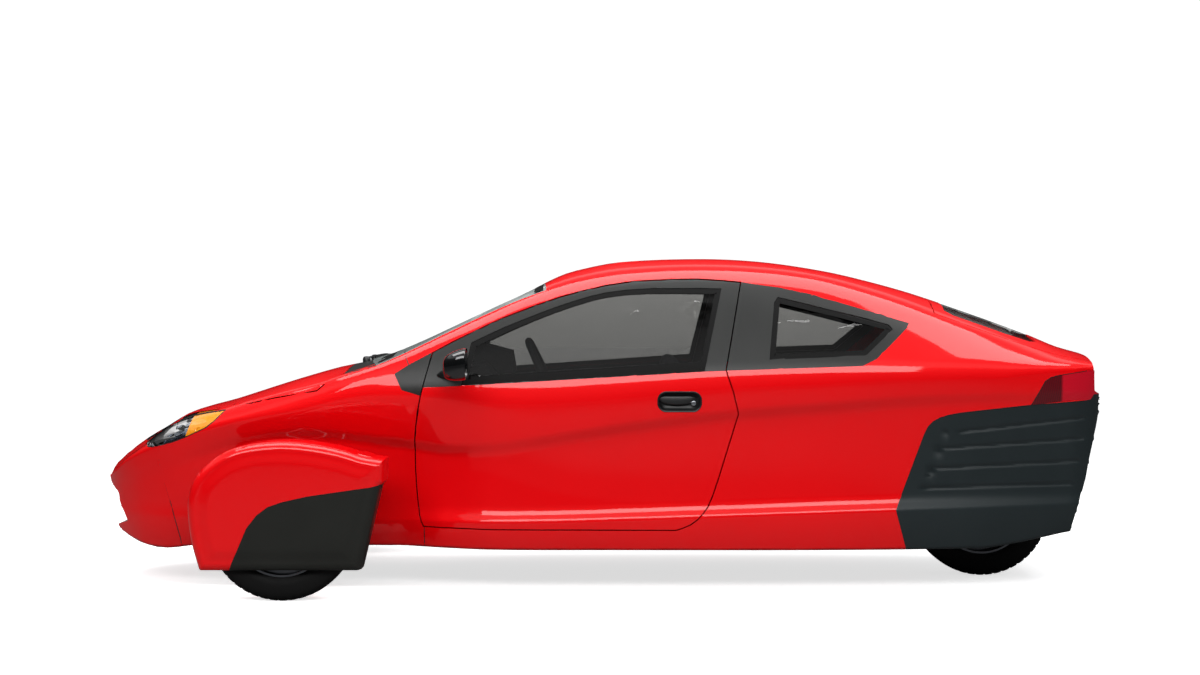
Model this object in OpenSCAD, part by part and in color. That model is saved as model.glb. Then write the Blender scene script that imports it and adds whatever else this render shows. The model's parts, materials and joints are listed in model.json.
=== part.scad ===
/* [Overall] */
// Length of the car from nose to tail
car_length = 4110; // [3500:10:4900]
// Height of the roof above the ground
car_height = 1342; // [1150:1:1600]
// Width of the cabin across the shoulders
cabin_width = 1180; // [1000:10:1400]

/* [Panels] */
// Thickness of body panels and doors
wall = 35; // [25:1:45]
// Thickness of the window glass
glass = 6; // [4:0.5:10]
// Clearance around doors and lids
door_gap = 5; // [4:0.5:8]
// Joint between two fixed panels
seam = 0.6; // [0.4:0.1:2]

/* [Wheels] */
// Outside diameter of the tyres
tyre_diameter = 580; // [500:5:640]
// Width of the front tyres
tyre_width = 140; // [110:5:165]
// Width of the rear tyre
rear_tyre_width = 180; // [130:5:260]
// Diameter of the rims over their flanges
rim_diameter = 410; // [340:5:440]
// Distance between the centres of the front tyres
track = 1470; // [1440:5:1600]

/* [Front fenders] */
// Width of a fender over the wheel
fender_width = 212; // [190:2:260]
// Thickness of the fenders
fender_wall = 8; // [5:1:12]

/* [Suspension and steering] */
// Outside diameter of the wishbone tubes
arm_tube = 28; // [18:1:36]
// Diameter of the steering wheel
steering_wheel_diameter = 360; // [300:5:400]
// Diameter of the hinge pins
hinge_pin = 8; // [5:0.5:10]
// Running clearance at pins and spindles
fit = 0.3; // [0.2:0.05:0.5]

/* [Seats] */
// Width of a seat
seat_width = 480; // [400:10:560]

/* [Hidden] */
$fn = 64;

// The body lines are drawn for this size and stretched from it
drawn_length = 4110;
drawn_height = 1342;
drawn_width = 1180;
kx = car_length / drawn_length;
ky = cabin_width / drawn_width;
kz = car_height / drawn_height;
far = 4000;

// Colours
red = [0.78, 0.05, 0.06];
dark = [0.14, 0.15, 0.15];
black = [0.05, 0.05, 0.055];
smoked = [0.16, 0.19, 0.21, 0.75];
metal = [0.62, 0.63, 0.65];
lens = [0.85, 0.87, 0.90, 0.8];
tail_red = [0.55, 0.03, 0.04];
cloth = [0.20, 0.20, 0.22];

// ---- The body's long lines: [distance ahead of the middle, value] ----
crown_z = [[-2070, 936], [-2041, 948], [-1976, 966], [-1927, 982], [-1827, 1025], [-1656, 1089],
    [-1484, 1149], [-1313, 1205], [-1142, 1252], [-971, 1291], [-714, 1329], [-457, 1342],
    [-115, 1329], [56, 1297], [141, 1270], [312, 1186], [484, 1107], [740, 989], [925, 917],
    [1083, 882], [1254, 833], [1511, 751], [1682, 702], [1776, 649], [1879, 590], [1982, 516],
    [2033, 468], [2055, 430]];
rail_y = [[-2070, 380], [-1873, 400], [-1526, 392], [-1203, 383], [-875, 378], [-440, 375],
    [-58, 378], [188, 385], [361, 410], [571, 440], [760, 470], [873, 482], [1003, 472],
    [1114, 456], [1300, 425], [1500, 395], [1700, 335], [1850, 240], [1950, 160], [2010, 95],
    [2055, 30]];
rail_z = [[-2070, 915], [-1873, 945], [-1526, 1064], [-1203, 1185], [-875, 1272], [-440, 1300],
    [-58, 1275], [188, 1222], [361, 1158], [571, 1054], [760, 957], [873, 908], [1003, 866],
    [1114, 828], [1300, 782], [1500, 725], [1700, 668], [1850, 575], [1950, 510], [2010, 462],
    [2055, 424]];
belt_y = [[-2070, 468], [-2000, 472], [-1500, 540], [-1000, 575], [-500, 590], [0, 585],
    [400, 568], [700, 545], [900, 520], [1100, 495], [1300, 470], [1500, 445], [1700, 392],
    [1850, 300], [1950, 215], [2010, 135], [2055, 45]];
belt_z = [[-2070, 900], [-1993, 904], [-1729, 900], [-1076, 884], [-538, 862], [-191, 838],
    [131, 815], [773, 788], [1000, 765], [1200, 725], [1400, 690], [1600, 640], [1750, 592],
    [1860, 548], [1950, 498], [2010, 450], [2055, 418]];
brow_y = [[-2070, 460], [-1500, 533], [-1000, 568], [-500, 582], [0, 578], [389, 555],
    [600, 502], [700, 482], [900, 465], [1200, 460], [1500, 425], [1700, 380], [1860, 286],
    [1950, 205], [2010, 128], [2055, 42]];
brow_z = [[-2070, 795], [-1314, 782], [-905, 752], [-577, 728], [-191, 682], [200, 622],
    [389, 594], [600, 585], [800, 610], [1200, 645], [1500, 600], [1700, 530], [1860, 470],
    [1950, 435], [2010, 415], [2055, 400]];
tuck_y = [[-2070, 452], [-1500, 520], [-1000, 548], [-500, 560], [0, 556], [389, 540],
    [600, 470], [700, 446], [800, 430], [1200, 428], [1500, 410], [1700, 374], [1860, 282],
    [1950, 200], [2010, 124], [2055, 40]];
flare_y = [[-2070, 440], [-1500, 510], [-1000, 545], [-500, 560], [0, 560], [400, 550],
    [600, 486], [700, 450], [800, 430], [1200, 426], [1500, 404], [1700, 364], [1860, 278],
    [1950, 195], [2010, 120], [2055, 38]];
sill_y = [[-2070, 450], [-1500, 530], [-1000, 567], [-500, 582], [0, 582], [400, 572],
    [600, 508], [700, 462], [800, 434], [1200, 430], [1500, 407], [1700, 366], [1860, 279],
    [1950, 195], [2010, 120], [2055, 38]];
sill_z = [[-2070, 345], [-1219, 329], [-191, 297], [131, 287], [635, 279], [1000, 275],
    [1700, 280], [2055, 290]];
edge_z = [[-2070, 236], [-1932, 228], [-1829, 209], [-1681, 182], [-1564, 168], [0, 167],
    [1600, 165], [1766, 146], [1875, 160], [1963, 191], [2010, 215], [2055, 225]];
tail_round = [[-2070, 0.84], [-2055, 0.895], [-2030, 0.945], [-1990, 0.98], [-1930, 1], [2055, 1]];
tuck_depth = 38;
flare_depth = 42;
edge_inset = 12;
camber = 1.5;

// Value of a line at x, by a smooth curve through its points
function part_of(k, x, i = 0) = i >= len(k) - 2 || x <= k[i + 1][0] ? i : part_of(k, x, i + 1);
function slope(k, i) = let (a = max(i - 1, 0), b = min(i + 1, len(k) - 1))
    (k[b][1] - k[a][1]) / (k[b][0] - k[a][0]);
function line_at(k, x) = let (i = part_of(k, x), a = k[i], b = k[i + 1], h = b[0] - a[0],
    t = min(1, max(0, (x - a[0]) / h)), t2 = t * t, t3 = t2 * t)
    (2 * t3 - 3 * t2 + 1) * a[1] + (t3 - 2 * t2 + t) * h * slope(k, i)
    + (3 * t2 - 2 * t3) * b[1] + (t3 - t2) * h * slope(k, i + 1);

// Corner points of half a section, from the roof's middle to the floor's: [y, z, rounding]
function corners(x) = let (u = x / kx, w = ky * line_at(tail_round, u),
    top = kz * line_at(crown_z, u), ry = w * line_at(rail_y, u), rz = kz * line_at(rail_z, u),
    by = w * line_at(belt_y, u), bz = kz * line_at(belt_z, u), oz = kz * line_at(brow_z, u),
    sy = w * line_at(sill_y, u), sz = kz * line_at(sill_z, u), ez = kz * line_at(edge_z, u))
    [[0, top, 0], [0.52 * ry, top - camber, 120], [ry, rz, 70], [0.62 * ry + 0.38 * by + 10, 0.62 * rz
    + 0.38 * bz, 150], [by, bz, 75], [w * line_at(brow_y, u), oz, 14],
    [w * line_at(tuck_y, u), oz - kz * tuck_depth, 16],
    [w * line_at(flare_y, u), sz + kz * flare_depth, 24], [sy, sz, 8],
    [sy - edge_inset, ez + camber, 14], [0, ez, 0]];

// The corner points moved inwards by d
function unit(v) = v / max(norm(v), 0.001);
function inward(a, b) = let (d = unit([b[0] - a[0], b[1] - a[1]])) [d[1], -d[0]];
function moved(c, d) = [for (i = [0 : len(c) - 1])
    i == 0 ? [0, c[0][1] - d, 0] :
    i == len(c) - 1 ? [0, c[i][1] + d, 0] :
    let (m = inward(c[i - 1], c[i]), n = inward(c[i], c[i + 1]), s = (m + n) / (1 + m * n))
    [c[i][0] + d * s[0], c[i][1] + d * s[1], c[i][2]]];

// Half a section with its corners rounded: 22 points, the long rail and belt corners finer
function rounded(c) = concat([[c[0][0], c[0][1]]],
    [for (i = [1 : len(c) - 2]) let (b = [c[i][0], c[i][1]],
        to_a = [c[i - 1][0], c[i - 1][1]] - b, to_c = [c[i + 1][0], c[i + 1][1]] - b,
        r = min(c[i][2], 0.48 * norm(to_a), 0.48 * norm(to_c)),
        p = b + r * unit(to_a), q = b + r * unit(to_c), n = i == 2 || i == 4 ? 2 : 1)
        for (j = [0 : n]) let (t = j / n)
            (1 - t) * (1 - t) * p + 2 * t * (1 - t) * b + t * t * q],
    [[c[len(c) - 1][0], c[len(c) - 1][1]]]);
// Places along the section, counted from the roof's middle down the left side
shoulder_at = 1;
rail_at = 3;
pane_at = 6;
belt_at = 8;
brow_at = 11;
sill_at = 17;
floor_at = 21;
around = 2 * floor_at;
function ring(x, d, first = 0, last = around - 1) = let (h = rounded(moved(corners(x), d)))
    [for (i = [first : last]) let (k = (i + around) % around, left = k <= floor_at,
        p = h[left ? k : around - k]) [x, left ? p[0] : -p[0], p[1]]];
function reversed(list) = [for (i = [len(list) - 1 : -1 : 0]) list[i]];

// A closed solid through rings of points
module skin(rings) {
    m = len(rings[0]);
    n = len(rings);
    polyhedron(points = [for (r = rings) each r], faces = concat(
        [[for (i = [m - 1 : -1 : 0]) i]],
        [for (s = [0 : n - 2]) for (i = [0 : m - 1]) let (j = (i + 1) % m)
            each [[s * m + i, (s + 1) * m + j, (s + 1) * m + i], [s * m + i, s * m + j,
                (s + 1) * m + j]]],
        [[for (i = [0 : m - 1]) (n - 1) * m + i]]));
}

// Where the sections stand, closer together where the lines bend
stations = [-2068, -2050, -2015, -1960, -1850, -1650, -1450, -1200, -950, -650, -300, 0, 150,
    300, 450, 580, 700, 820, 1000, 1180, 1350, 1520, 1690, 1800, 1890, 1960, 2010, 2038, 2054];
function between(from, to) = [for (x = stations) if (x >= from && x <= to) x * kx];
// A strip of the body's shell between two depths, from one place in the section to another
module strip(from, to, first, last, outer = 0, inner = wall) {
    skin([for (x = between(from, to)) concat(ring(x, outer, first, last),
        reversed(ring(x, inner, first, last)))]);
}
// The whole inside of the shell at one depth
module body_solid(d, from, to) {
    skin([for (x = between(from, to)) ring(x, d)]);
}
// The closed tail end and nose end of the shell
tail_wall = -2015;
nose_wall = 1890;
nose_skin = 20;
module tail_cup(to) {
    difference() {
        body_solid(0, -2068, to);
        body_solid(wall, tail_wall, to + 250);
    }
}
module nose_cup(from) {
    difference() {
        body_solid(0, from, 2054);
        body_solid(nose_skin, from - 180, nose_wall);
    }
}

// ---- Outlines, seen from the left side: [ahead, up] ----
function sized(points) = [for (p = points) [p[0] * kx, p[1] * kz]];
// A smooth curve through the points, with one more point between each two
function smooth(p) = let (n = len(p) - 1) [for (i = [0 : n]) each i == n ? [p[n]] :
    [p[i], (9 * (p[i] + p[i + 1]) - p[max(i - 1, 0)] - p[min(i + 2, n)]) / 16]];
door_outline = sized(concat(
    smooth([[642, 953], [686, 785], [708, 660], [716, 549], [710, 415], [697, 300], [681, 256]]),
    smooth([[-334, 253], [-391, 275], [-441, 319], [-477, 383], [-530, 548], [-581, 713]]),
    [[-560, 800], [-531, 887]],
    smooth([[-600, 1237], [-431, 1248], [-244, 1244], [-57, 1223], [132, 1177], [300, 1117],
        [420, 1066], [567, 995]])));
door_window = sized(concat(smooth([[488, 996], [350, 1060], [203, 1120], [70, 1166], [-57, 1199],
    [-244, 1216], [-524, 1214]]), [[-448, 883], [526, 826]]));
door_waist = sized([[900, 806], [526, 824], [-448, 882], [-700, 892], [-700, 1500], [900, 1500]]);
front_trim = sized([[795, 870], [739, 906], [647, 956], [691, 785], [765, 807]]);
rear_trim = sized([[-606, 1240], [-765, 1217], [-983, 1163], [-1150, 1112], [-1281, 1073],
    [-1270, 1052], [-1137, 931], [-1080, 904], [-536, 886]]);
quarter_window = sized([[-736, 1158], [-752, 1179], [-983, 1123], [-1197, 1068], [-1213, 1049],
    [-1104, 952], [-1090, 944], [-708, 930]]);
bumper_outline = sized([[1703, 900], [1703, 620], [1780, 563], [1782, 502], [1751, 408],
    [1714, 286], [1686, 189], [1680, 100], [1963, 100], [1963, 150], [1985, 200], [2001, 226],
    [1942, 246], [2014, 376], [2025, 384], [2046, 398], [2054, 422], [2200, 430], [2200, 900]]);
headlight_outline = sized([[1860, 563], [1810, 605], [1753, 639], [1681, 677], [1638, 694],
    [1586, 706], [1494, 721], [1537, 677], [1571, 650], [1609, 632], [1644, 616], [1695, 596],
    [1753, 576], [1810, 563]]);
bonnet_outline = sized([[1003, 1100], [1003, 872], [1074, 839], [1114, 804], [1286, 774],
    [1479, 730], [1560, 716], [1640, 700], [1700, 684], [1703, 1100]]);
cowl_outline = sized([[1003, 1100], [1003, 866], [881, 900], [820, 922], [820, 1100]]);
wing_outline = sized([[679, 100], [679, 256], [697, 300], [710, 415], [716, 549], [708, 660],
    [690, 786], [765, 807], [795, 870], [739, 906], [760, 958], [830, 1100], [1703, 1100],
    [1703, 620], [1780, 563], [1782, 502], [1751, 408], [1714, 286], [1686, 189], [1680, 100]]);
rear_bumper_outline = sized([[-1257, 100], [-1257, 169], [-1215, 327], [-1233, 370], [-1331, 630],
    [-1346, 660], [-1367, 681], [-1395, 696], [-1432, 707], [-1480, 715], [-1542, 722],
    [-1760, 745], [-2010, 763], [-2032, 786],
    [-2200, 790], [-2200, 100]]);
tail_light_outline = sized([[-1768, 744], [-1824, 841], [-1847, 856], [-1878, 864], [-2009, 883],
    [-2200, 884], [-2200, 786], [-2032, 786], [-2010, 763], [-1947, 765]]);
side_outline = sized([[2054, 422], [2046, 398], [2025, 384], [2014, 376], [1942, 246],
    [2001, 226], [1985, 200], [1963, 150], [1963, 100], [-1905, 100], [-1932, 236], [-1999, 450],
    [-2036, 618], [-2057, 699], [-2064, 787], [-2036, 800], [-2030, 860], [-2030, 905],
    [-2054, 935], [-2044, 960], [-2040, 1500], [2054, 1500]]);

// ---- Outlines, seen from above: [ahead, left] ----
function wide(points) = [for (p = points) [p[0] * kx, p[1] * ky]];
function both_sides(points) = concat(points, [for (i = [len(points) - 1 : -1 : 0])
    [points[i][0], -points[i][1]]]);
windscreen_outline = wide(both_sides([[925, 60], [918, 200], [900, 350], [873, 478], [760, 462],
    [571, 432], [361, 402], [188, 376], [197, 200], [201, 60]]));
roof_outline = wide(both_sides([[201, 60], [197, 200], [188, 376], [90, 364], [-440, 362],
    [-1200, 368], [-1399, 372]]));
hatch_outline = wide(both_sides([[-1399, 372], [-1700, 380], [-1900, 378], [-2100, 352]]));
rear_window_outline = wide(both_sides([[-1450, 300], [-1480, 322], [-1700, 322], [-1800, 314],
    [-1830, 284]]));
floor_outline = wide(both_sides([[1640, 330], [1500, 350], [700, 360], [500, 440], [-1215, 440]]));
wheel_well_outline = wide(both_sides([[-1262, 455], [-1600, 448], [-1900, 420], [-1975, 380]]));
hatch_bottom = 768 * kz;

// Prisms over those outlines
module through_sides(points, grow = 0) {
    translate([0, far / 2, 0]) rotate([90, 0, 0]) linear_extrude(far)
        offset(delta = grow) polygon(points);
}
module through_top(points, grow = 0, from = 800 * kz, to = far) {
    translate([0, 0, from]) linear_extrude(to - from) offset(delta = grow) polygon(points);
}
// Room for the middle of the car, leaving both sides
module middle(half_width) {
    translate([-far / 2, -half_width, -100]) cube([far, 2 * half_width, far]);
}

// ---- Fixed panels ----
module tail_light_space(grow = 0) {
    difference() {
        through_sides(tail_light_outline, grow);
        translate([-far, -352 * ky + grow, 0]) cube([far, 704 * ky - 2 * grow, far]);
    }
}
module tail_cut() {
    difference() {
        translate([-2200 * kx, -far / 2, 0]) cube([500 * kx, far, far]);
        through_sides(side_outline);
    }
}
module hatch_space() {
    through_top(hatch_outline, door_gap, hatch_bottom - door_gap);
}
module floor_space() {
    through_top(floor_outline, seam, 0, 260 * kz);
}
module body_sides() {
    color(red) difference() {
        strip(-2068, 820, shoulder_at, around - shoulder_at);
        through_sides(wing_outline);
        through_sides(door_outline, door_gap);
        through_sides(front_trim, seam / 2);
        through_sides(rear_trim, seam / 2);
        through_sides(rear_bumper_outline, seam / 2);
        tail_light_space(seam / 2);
        through_top(windscreen_outline, seam);
        through_top(roof_outline, seam);
        hatch_space();
        floor_space();
        tail_cut();
    }
}
// The corner between the bonnet's front edge and the headlights
module bonnet_corner_space() {
    translate([1600 * kx, -332 * ky, 664 * kz]) cube([110 * kx, 664 * ky, 60 * kz]);
}
module front_wings() {
    color(red) difference() {
        intersection() {
            strip(580, 1800, rail_at, around - rail_at);
            through_sides(wing_outline, -seam / 2);
        }
        through_sides(bonnet_outline, door_gap);
        bonnet_corner_space();
        through_sides(cowl_outline, seam);
        through_sides(headlight_outline, seam);
        through_sides(front_trim, seam / 2);
        through_sides(door_outline, door_gap);
        through_top(windscreen_outline, seam);
        floor_space();
        for (side = [1, -1]) hinge_pockets(side);
        for (side = [1, -1]) on_side(side) translate([front_axle_x, 0, 0]) arm_feet(fit);
        rack_hole();
    }
}
module roof_panel() {
    color(red) difference() {
        intersection() {
            strip(-1450, 300, -pane_at, pane_at);
            through_top(roof_outline);
        }
        hatch_space();
        hatch_hinge_pockets();
    }
}
module cowl_panel() {
    color(black) difference() {
        intersection() {
            strip(700, 1180, -brow_at, brow_at);
            through_sides(cowl_outline);
        }
        through_sides(bonnet_outline, door_gap);
        through_top(windscreen_outline, seam);
        bonnet_hinge_pockets();
    }
}
module windscreen() {
    color(smoked) intersection() {
        strip(150, 1000, -belt_at, belt_at, 2, 2 + glass);
        through_top(windscreen_outline);
    }
}
module front_bumper() {
    color(red) difference() {
        intersection() {
            nose_cup(1520);
            through_sides(bumper_outline, -seam / 2);
        }
        through_sides(bonnet_outline, door_gap);
        through_sides(headlight_outline, seam);
        grille_space(0);
    }
}
// The air intake between the nose and its lower lip
intake_low = 236 * kz;
intake_high = 372 * kz;
intake_half_width = 150 * ky;
intake_depth = 150 * kx;
module grille_space(grow) {
    translate([car_length / 2 - intake_depth, 0, (intake_low + intake_high) / 2])
        rotate([90, 0, 90]) linear_extrude(far) offset(r = 30 - grow) square(
            [2 * intake_half_width - 60, intake_high - intake_low - 60], center = true);
}
grille_x = 1950 * kx;
slat_length = 22;
grille_slats = 4;
module grille() {
    pitch = (intake_high - intake_low) / (grille_slats + 1);
    color(dark) intersection() {
        grille_space(seam);
        union() {
            translate([grille_x - 40, -far / 2, 0]) cube([12, far, far]);
            for (i = [1 : grille_slats])
                translate([grille_x - 30, -far / 2, intake_low + i * pitch - 5])
                    cube([slat_length, far, 10]);
        }
    }
}
module headlights() {
    color(lens) difference() {
        intersection() {
            strip(1350, 1890, -brow_at - 1, brow_at + 1, 1, wall - 6);
            through_sides(headlight_outline);
        }
        middle(120 * ky);
        through_sides(bonnet_outline, door_gap);
    }
}
module window_trims() {
    color(black) difference() {
        intersection() {
            strip(-1450, 820, -brow_at, brow_at, 0, wall - 12);
            union() {
                through_sides(front_trim);
                through_sides(rear_trim);
            }
        }
        through_sides(quarter_window, seam / 2);
        through_top(windscreen_outline, seam);
        for (side = [1, -1]) hinge_pockets(side);
        middle(300 * ky);
    }
}
module quarter_windows() {
    color(smoked) difference() {
        intersection() {
            strip(-1450, -650, -brow_at, brow_at, 2, 2 + glass);
            through_sides(quarter_window);
        }
        middle(300 * ky);
    }
}
module rear_bumper() {
    color(dark) difference() {
        intersection() {
            tail_cup(-1200);
            through_sides(rear_bumper_outline);
            through_sides(side_outline);
        }
        through_top(wheel_well_outline, 0, -1000);
        tail_light_space(seam / 2);
        hatch_space();
    }
}
module tail_lights() {
    color(tail_red) difference() {
        intersection() {
            tail_cup(-1650);
            through_sides(side_outline);
            tail_light_space(-seam / 2);
        }
        hatch_space();
    }
}

// ---- Floor, bulkhead and power unit ----
floor_low = 167 * kz;
floor_top = floor_low + wall + camber;
module floor_pan() {
    color(dark) intersection() {
        strip(-1450, 1690, sill_at, around - sill_at);
        through_top(floor_outline, 0, 0, 260 * kz);
    }
}
bulkhead_x = 760 * kx;
module bulkhead() {
    color(black) difference() {
        intersection() {
            body_solid(wall - 3, 700, 820);
            translate([bulkhead_x, -far / 2, 0]) cube([14, far, 850 * kz]);
        }
        strip(700, 820, rail_at, around - rail_at);
    }
}
boot_front_x = -1208 * kx;
boot_floor_z = 640 * kz;
module boot_floor() {
    color(black) intersection() {
        body_solid(wall + 5 * fit, -2015, -950);
        union() {
            translate([boot_front_x, -far / 2, 0]) cube([12, far, boot_floor_z]);
            translate([-1960 * kx, -far / 2, boot_floor_z - 12])
                cube([1960 * kx + boot_front_x + 12, far, 12]);
        }
    }
}
engine_size = [320, 360, 330];
engine_x = 1345 * kx;
module engine_block() {
    color(metal) translate([engine_x, 0, floor_top + fit + engine_size[2] / 2])
        cube(engine_size, center = true);
}

// ---- Inside ----
dash_half_width = 385 * ky;
wheel_hub = [205 * kx, 0, 842 * kz];
column_tilt = 25;
column_radius = 26;
shaft_radius = 10;
column_length = 230;
module on_column() {
    translate(wheel_hub) rotate([0, 90 + column_tilt, 0]) children();
}
module dashboard() {
    profile = [[bulkhead_x - 0.3, 560 * kz], [bulkhead_x - 0.3, 846 * kz], [640 * kx, 872 * kz],
        [440 * kx, 905 * kz], [400 * kx, 860 * kz], [420 * kx, 760 * kz], [540 * kx, 600 * kz]];
    color(black) difference() {
        union() {
            translate([0, dash_half_width, 0]) rotate([90, 0, 0])
                linear_extrude(2 * dash_half_width) polygon(profile);
            translate([430 * kx, 130 * ky, 890 * kz]) rotate([90, 0, 0])
                linear_extrude(260 * ky) polygon([[-100, -30], [-85, 62], [20, 90], [110, -40]]);
            on_column() translate([0, 0, 40]) cylinder(r = column_radius, h = column_length);
        }
        on_column() translate([0, 0, -1]) cylinder(r = shaft_radius + fit, h = 40 + column_length);
    }
}
module steering_wheel() {
    rim = 15;
    reach = steering_wheel_diameter / 2 - rim;
    color(black) on_column() union() {
        rotate_extrude() translate([reach, 0]) circle(r = rim);
        translate([0, 0, -4]) cylinder(r = 46, h = 34);
        for (a = [0, 120, 240]) rotate([0, 0, a + 180])
            translate([20, -15, 2]) cube([reach - 20, 30, 10]);
        cylinder(r = shaft_radius, h = 140);
    }
}
driver_x = -40 * kx;
passenger_x = -880 * kx;
base_height = 70;
// The side shape of a cushion and its back, ahead and up from the seat's reference point
seat_profile = [[300, 0], [330, 60], [300, 120], [60, 90], [-40, 100], [-190, 430], [-225, 640],
    [-285, 660], [-330, 620], [-300, 430], [-190, 60], [-140, 0]];
module seat(x) {
    color(cloth) translate([x, seat_width / 2, floor_top + base_height + fit])
        rotate([90, 0, 0]) linear_extrude(seat_width) polygon(seat_profile);
}
module driver_seat() {
    seat(driver_x);
}
module passenger_seat() {
    seat(passenger_x);
}
module seat_bases() {
    color(dark) for (x = [driver_x, passenger_x])
        translate([x - 120, -seat_width / 2 + 40, floor_top - fit])
            cube([380, seat_width - 80, base_height]);
}

// ---- Front suspension and steering ----
front_axle_x = 1203 * kx;
axle_z = tyre_diameter / 2;
fender_outer = track / 2 + tyre_width / 2 + 45;
fender_inner = fender_outer - fender_width;
kingpin_y = track / 2 - tyre_width / 2 - 25;
arm_foot_y = 408 * ky;
arm_foot_depth = 40;
pin_radius = 7;
eye_radius = 20;
eye_height = 28;
eye_gap = 5;
upright_low = axle_z - 118;
upright_high = axle_z + 120;
// A round bar between two points
module bar(a, b, r) {
    d = b - a;
    translate(a) rotate([0, acos(d[2] / norm(d)), atan2(d[1], d[0])]) cylinder(r = r, h = norm(d));
}
module wishbone(z, foot_x, foot_z, pin_up) {
    translate([0, kingpin_y, z]) cylinder(r = eye_radius, h = eye_height);
    translate([0, kingpin_y, pin_up ? z : z - 30]) cylinder(r = pin_radius, h = eye_height + 30);
    for (s = [1, -1]) {
        bar([s * 8, kingpin_y - 6, z + eye_height / 2],
            [s * foot_x, arm_foot_y + arm_foot_depth - 6, foot_z], arm_tube / 2);
    }
}
lower_foot = [130, axle_z - 88];
upper_foot = [90, axle_z + 130];
// The four plates by which one side's wishbones are held, let into the body's wall
module arm_feet(grow) {
    for (f = [lower_foot, upper_foot]) for (s = [1, -1])
        translate([s * f[0] - 26 - grow, arm_foot_y - grow, f[1] - 26 - grow])
            cube([52 + 2 * grow, arm_foot_depth, 52 + 2 * grow]);
}
module on_side(side) {
    if (side > 0) children();
    else mirror([0, 1, 0]) children();
}
module suspension_arms() {
    color(metal) for (side = [1, -1]) on_side(side) translate([front_axle_x, 0, 0]) {
        wishbone(upright_low - eye_height - eye_gap, lower_foot[0], lower_foot[1], true);
        wishbone(upright_high + eye_gap, upper_foot[0], upper_foot[1], false);
        arm_feet(0);
    }
}
steering_arm = 110;
rack_z = axle_z - 40;
rack_radius = 9;
spindle_radius = 17;
module knuckle(side) {
    color(metal) on_side(side) translate([front_axle_x, 0, 0]) difference() {
        union() {
            translate([-20, kingpin_y - 12, upright_low])
                cube([40, 24, upright_high - upright_low]);
            translate([-85, kingpin_y - 18, axle_z - 20]) cube([170, 24, 40]);
            for (s = [1, -1]) translate([s * 72 - 13, kingpin_y - 18, axle_z])
                cube([26, fender_inner - kingpin_y + 18 - fit, 300]);
            translate([-85, kingpin_y - 18, axle_z + 170])
                cube([170, fender_inner - kingpin_y + 18 - fit, 130]);
            translate([0, kingpin_y, axle_z]) rotate([-90, 0, 0])
                cylinder(r = spindle_radius, h = track / 2 - kingpin_y + 20);
            translate([-steering_arm - 14, kingpin_y - 12, rack_z + 12])
                cube([steering_arm + 14, 24, 10]);
        }
        for (z = [upright_low - 1, upright_high - 32])
            translate([0, kingpin_y, z]) cylinder(r = pin_radius + fit, h = 33);
    }
}
module rack_housing() {
    color(dark) translate([front_axle_x - steering_arm, 0, 0]) difference() {
        union() {
            translate([0, 300, rack_z]) rotate([90, 0, 0]) cylinder(r = 24, h = 600);
            for (y = [-200, 170]) translate([-20, y, floor_top + 2 * fit])
                cube([40, 30, rack_z - floor_top]);
        }
        translate([0, 301, rack_z]) rotate([90, 0, 0]) cylinder(r = rack_radius + fit, h = 602);
    }
}
module steering_rack() {
    color(metal) translate([front_axle_x - steering_arm, 0, 0]) {
        translate([0, kingpin_y, rack_z]) rotate([90, 0, 0])
            cylinder(r = rack_radius, h = 2 * kingpin_y);
        for (s = [1, -1]) translate([0, s * kingpin_y, rack_z - 9]) cylinder(r = 13, h = 18);
    }
}
// Where the rack passes through a wing, with room for it to slide
module rack_hole() {
    translate([front_axle_x - steering_arm, far / 2, rack_z]) rotate([90, 0, 0])
        cylinder(r = rack_radius + 6, h = far);
}

// ---- Fenders that turn with the front wheels: [ahead of the axle, up] ----
fender_low = 122;
fender_outline = [[311, 122], [343, 235], [357, 343], [354, 408], [333, 473], [284, 532],
    [203, 586], [100, 613], [-18, 621], [-137, 610], [-240, 589], [-321, 564], [-402, 551],
    [-399, 467], [-391, 454], [-315, 135], [-311, 122]];
cover_outline = [[-450, 468], [-396, 458], [-348, 446], [-105, 411], [-8, 389], [46, 370],
    [89, 338], [127, 289], [197, 122], [197, 0], [-450, 0]];
fender_opening_top = 455;
// Depth from the outer face, and how far the outline is drawn in there
fender_slices = [[0, 34], [4, 20], [14, 8], [32, 0]];
module fender_slice(y, inset) {
    translate([0, y, 0]) rotate([90, 0, 0]) linear_extrude(0.5)
        offset(delta = -inset) polygon(fender_outline);
}
module fender_solid(shrink) {
    hull() {
        for (s = fender_slices) fender_slice(fender_outer - shrink - s[0], s[1] + shrink);
        fender_slice(fender_inner + shrink + 24.5, shrink);
        fender_slice(fender_inner + shrink + 0.5, 14 + shrink);
    }
}
module fender_shell() {
    difference() {
        fender_solid(0);
        fender_solid(fender_wall);
        translate([-far / 2, 0, 0]) cube([far, far, fender_low + fender_wall]);
        translate([-far / 2, 0, 0]) cube([far, fender_inner + 100, fender_opening_top]);
    }
}
module cover_prism(grow) {
    translate([0, far, 0]) rotate([90, 0, 0]) linear_extrude(far)
        offset(delta = grow) polygon(cover_outline);
}
module fender(side) {
    color(red) on_side(side) translate([front_axle_x, 0, 0]) difference() {
        fender_shell();
        cover_prism(seam / 2);
    }
}
module wheel_cover(side) {
    color(dark) on_side(side) translate([front_axle_x, 0, 0]) intersection() {
        fender_shell();
        cover_prism(-seam / 2);
    }
}

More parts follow.
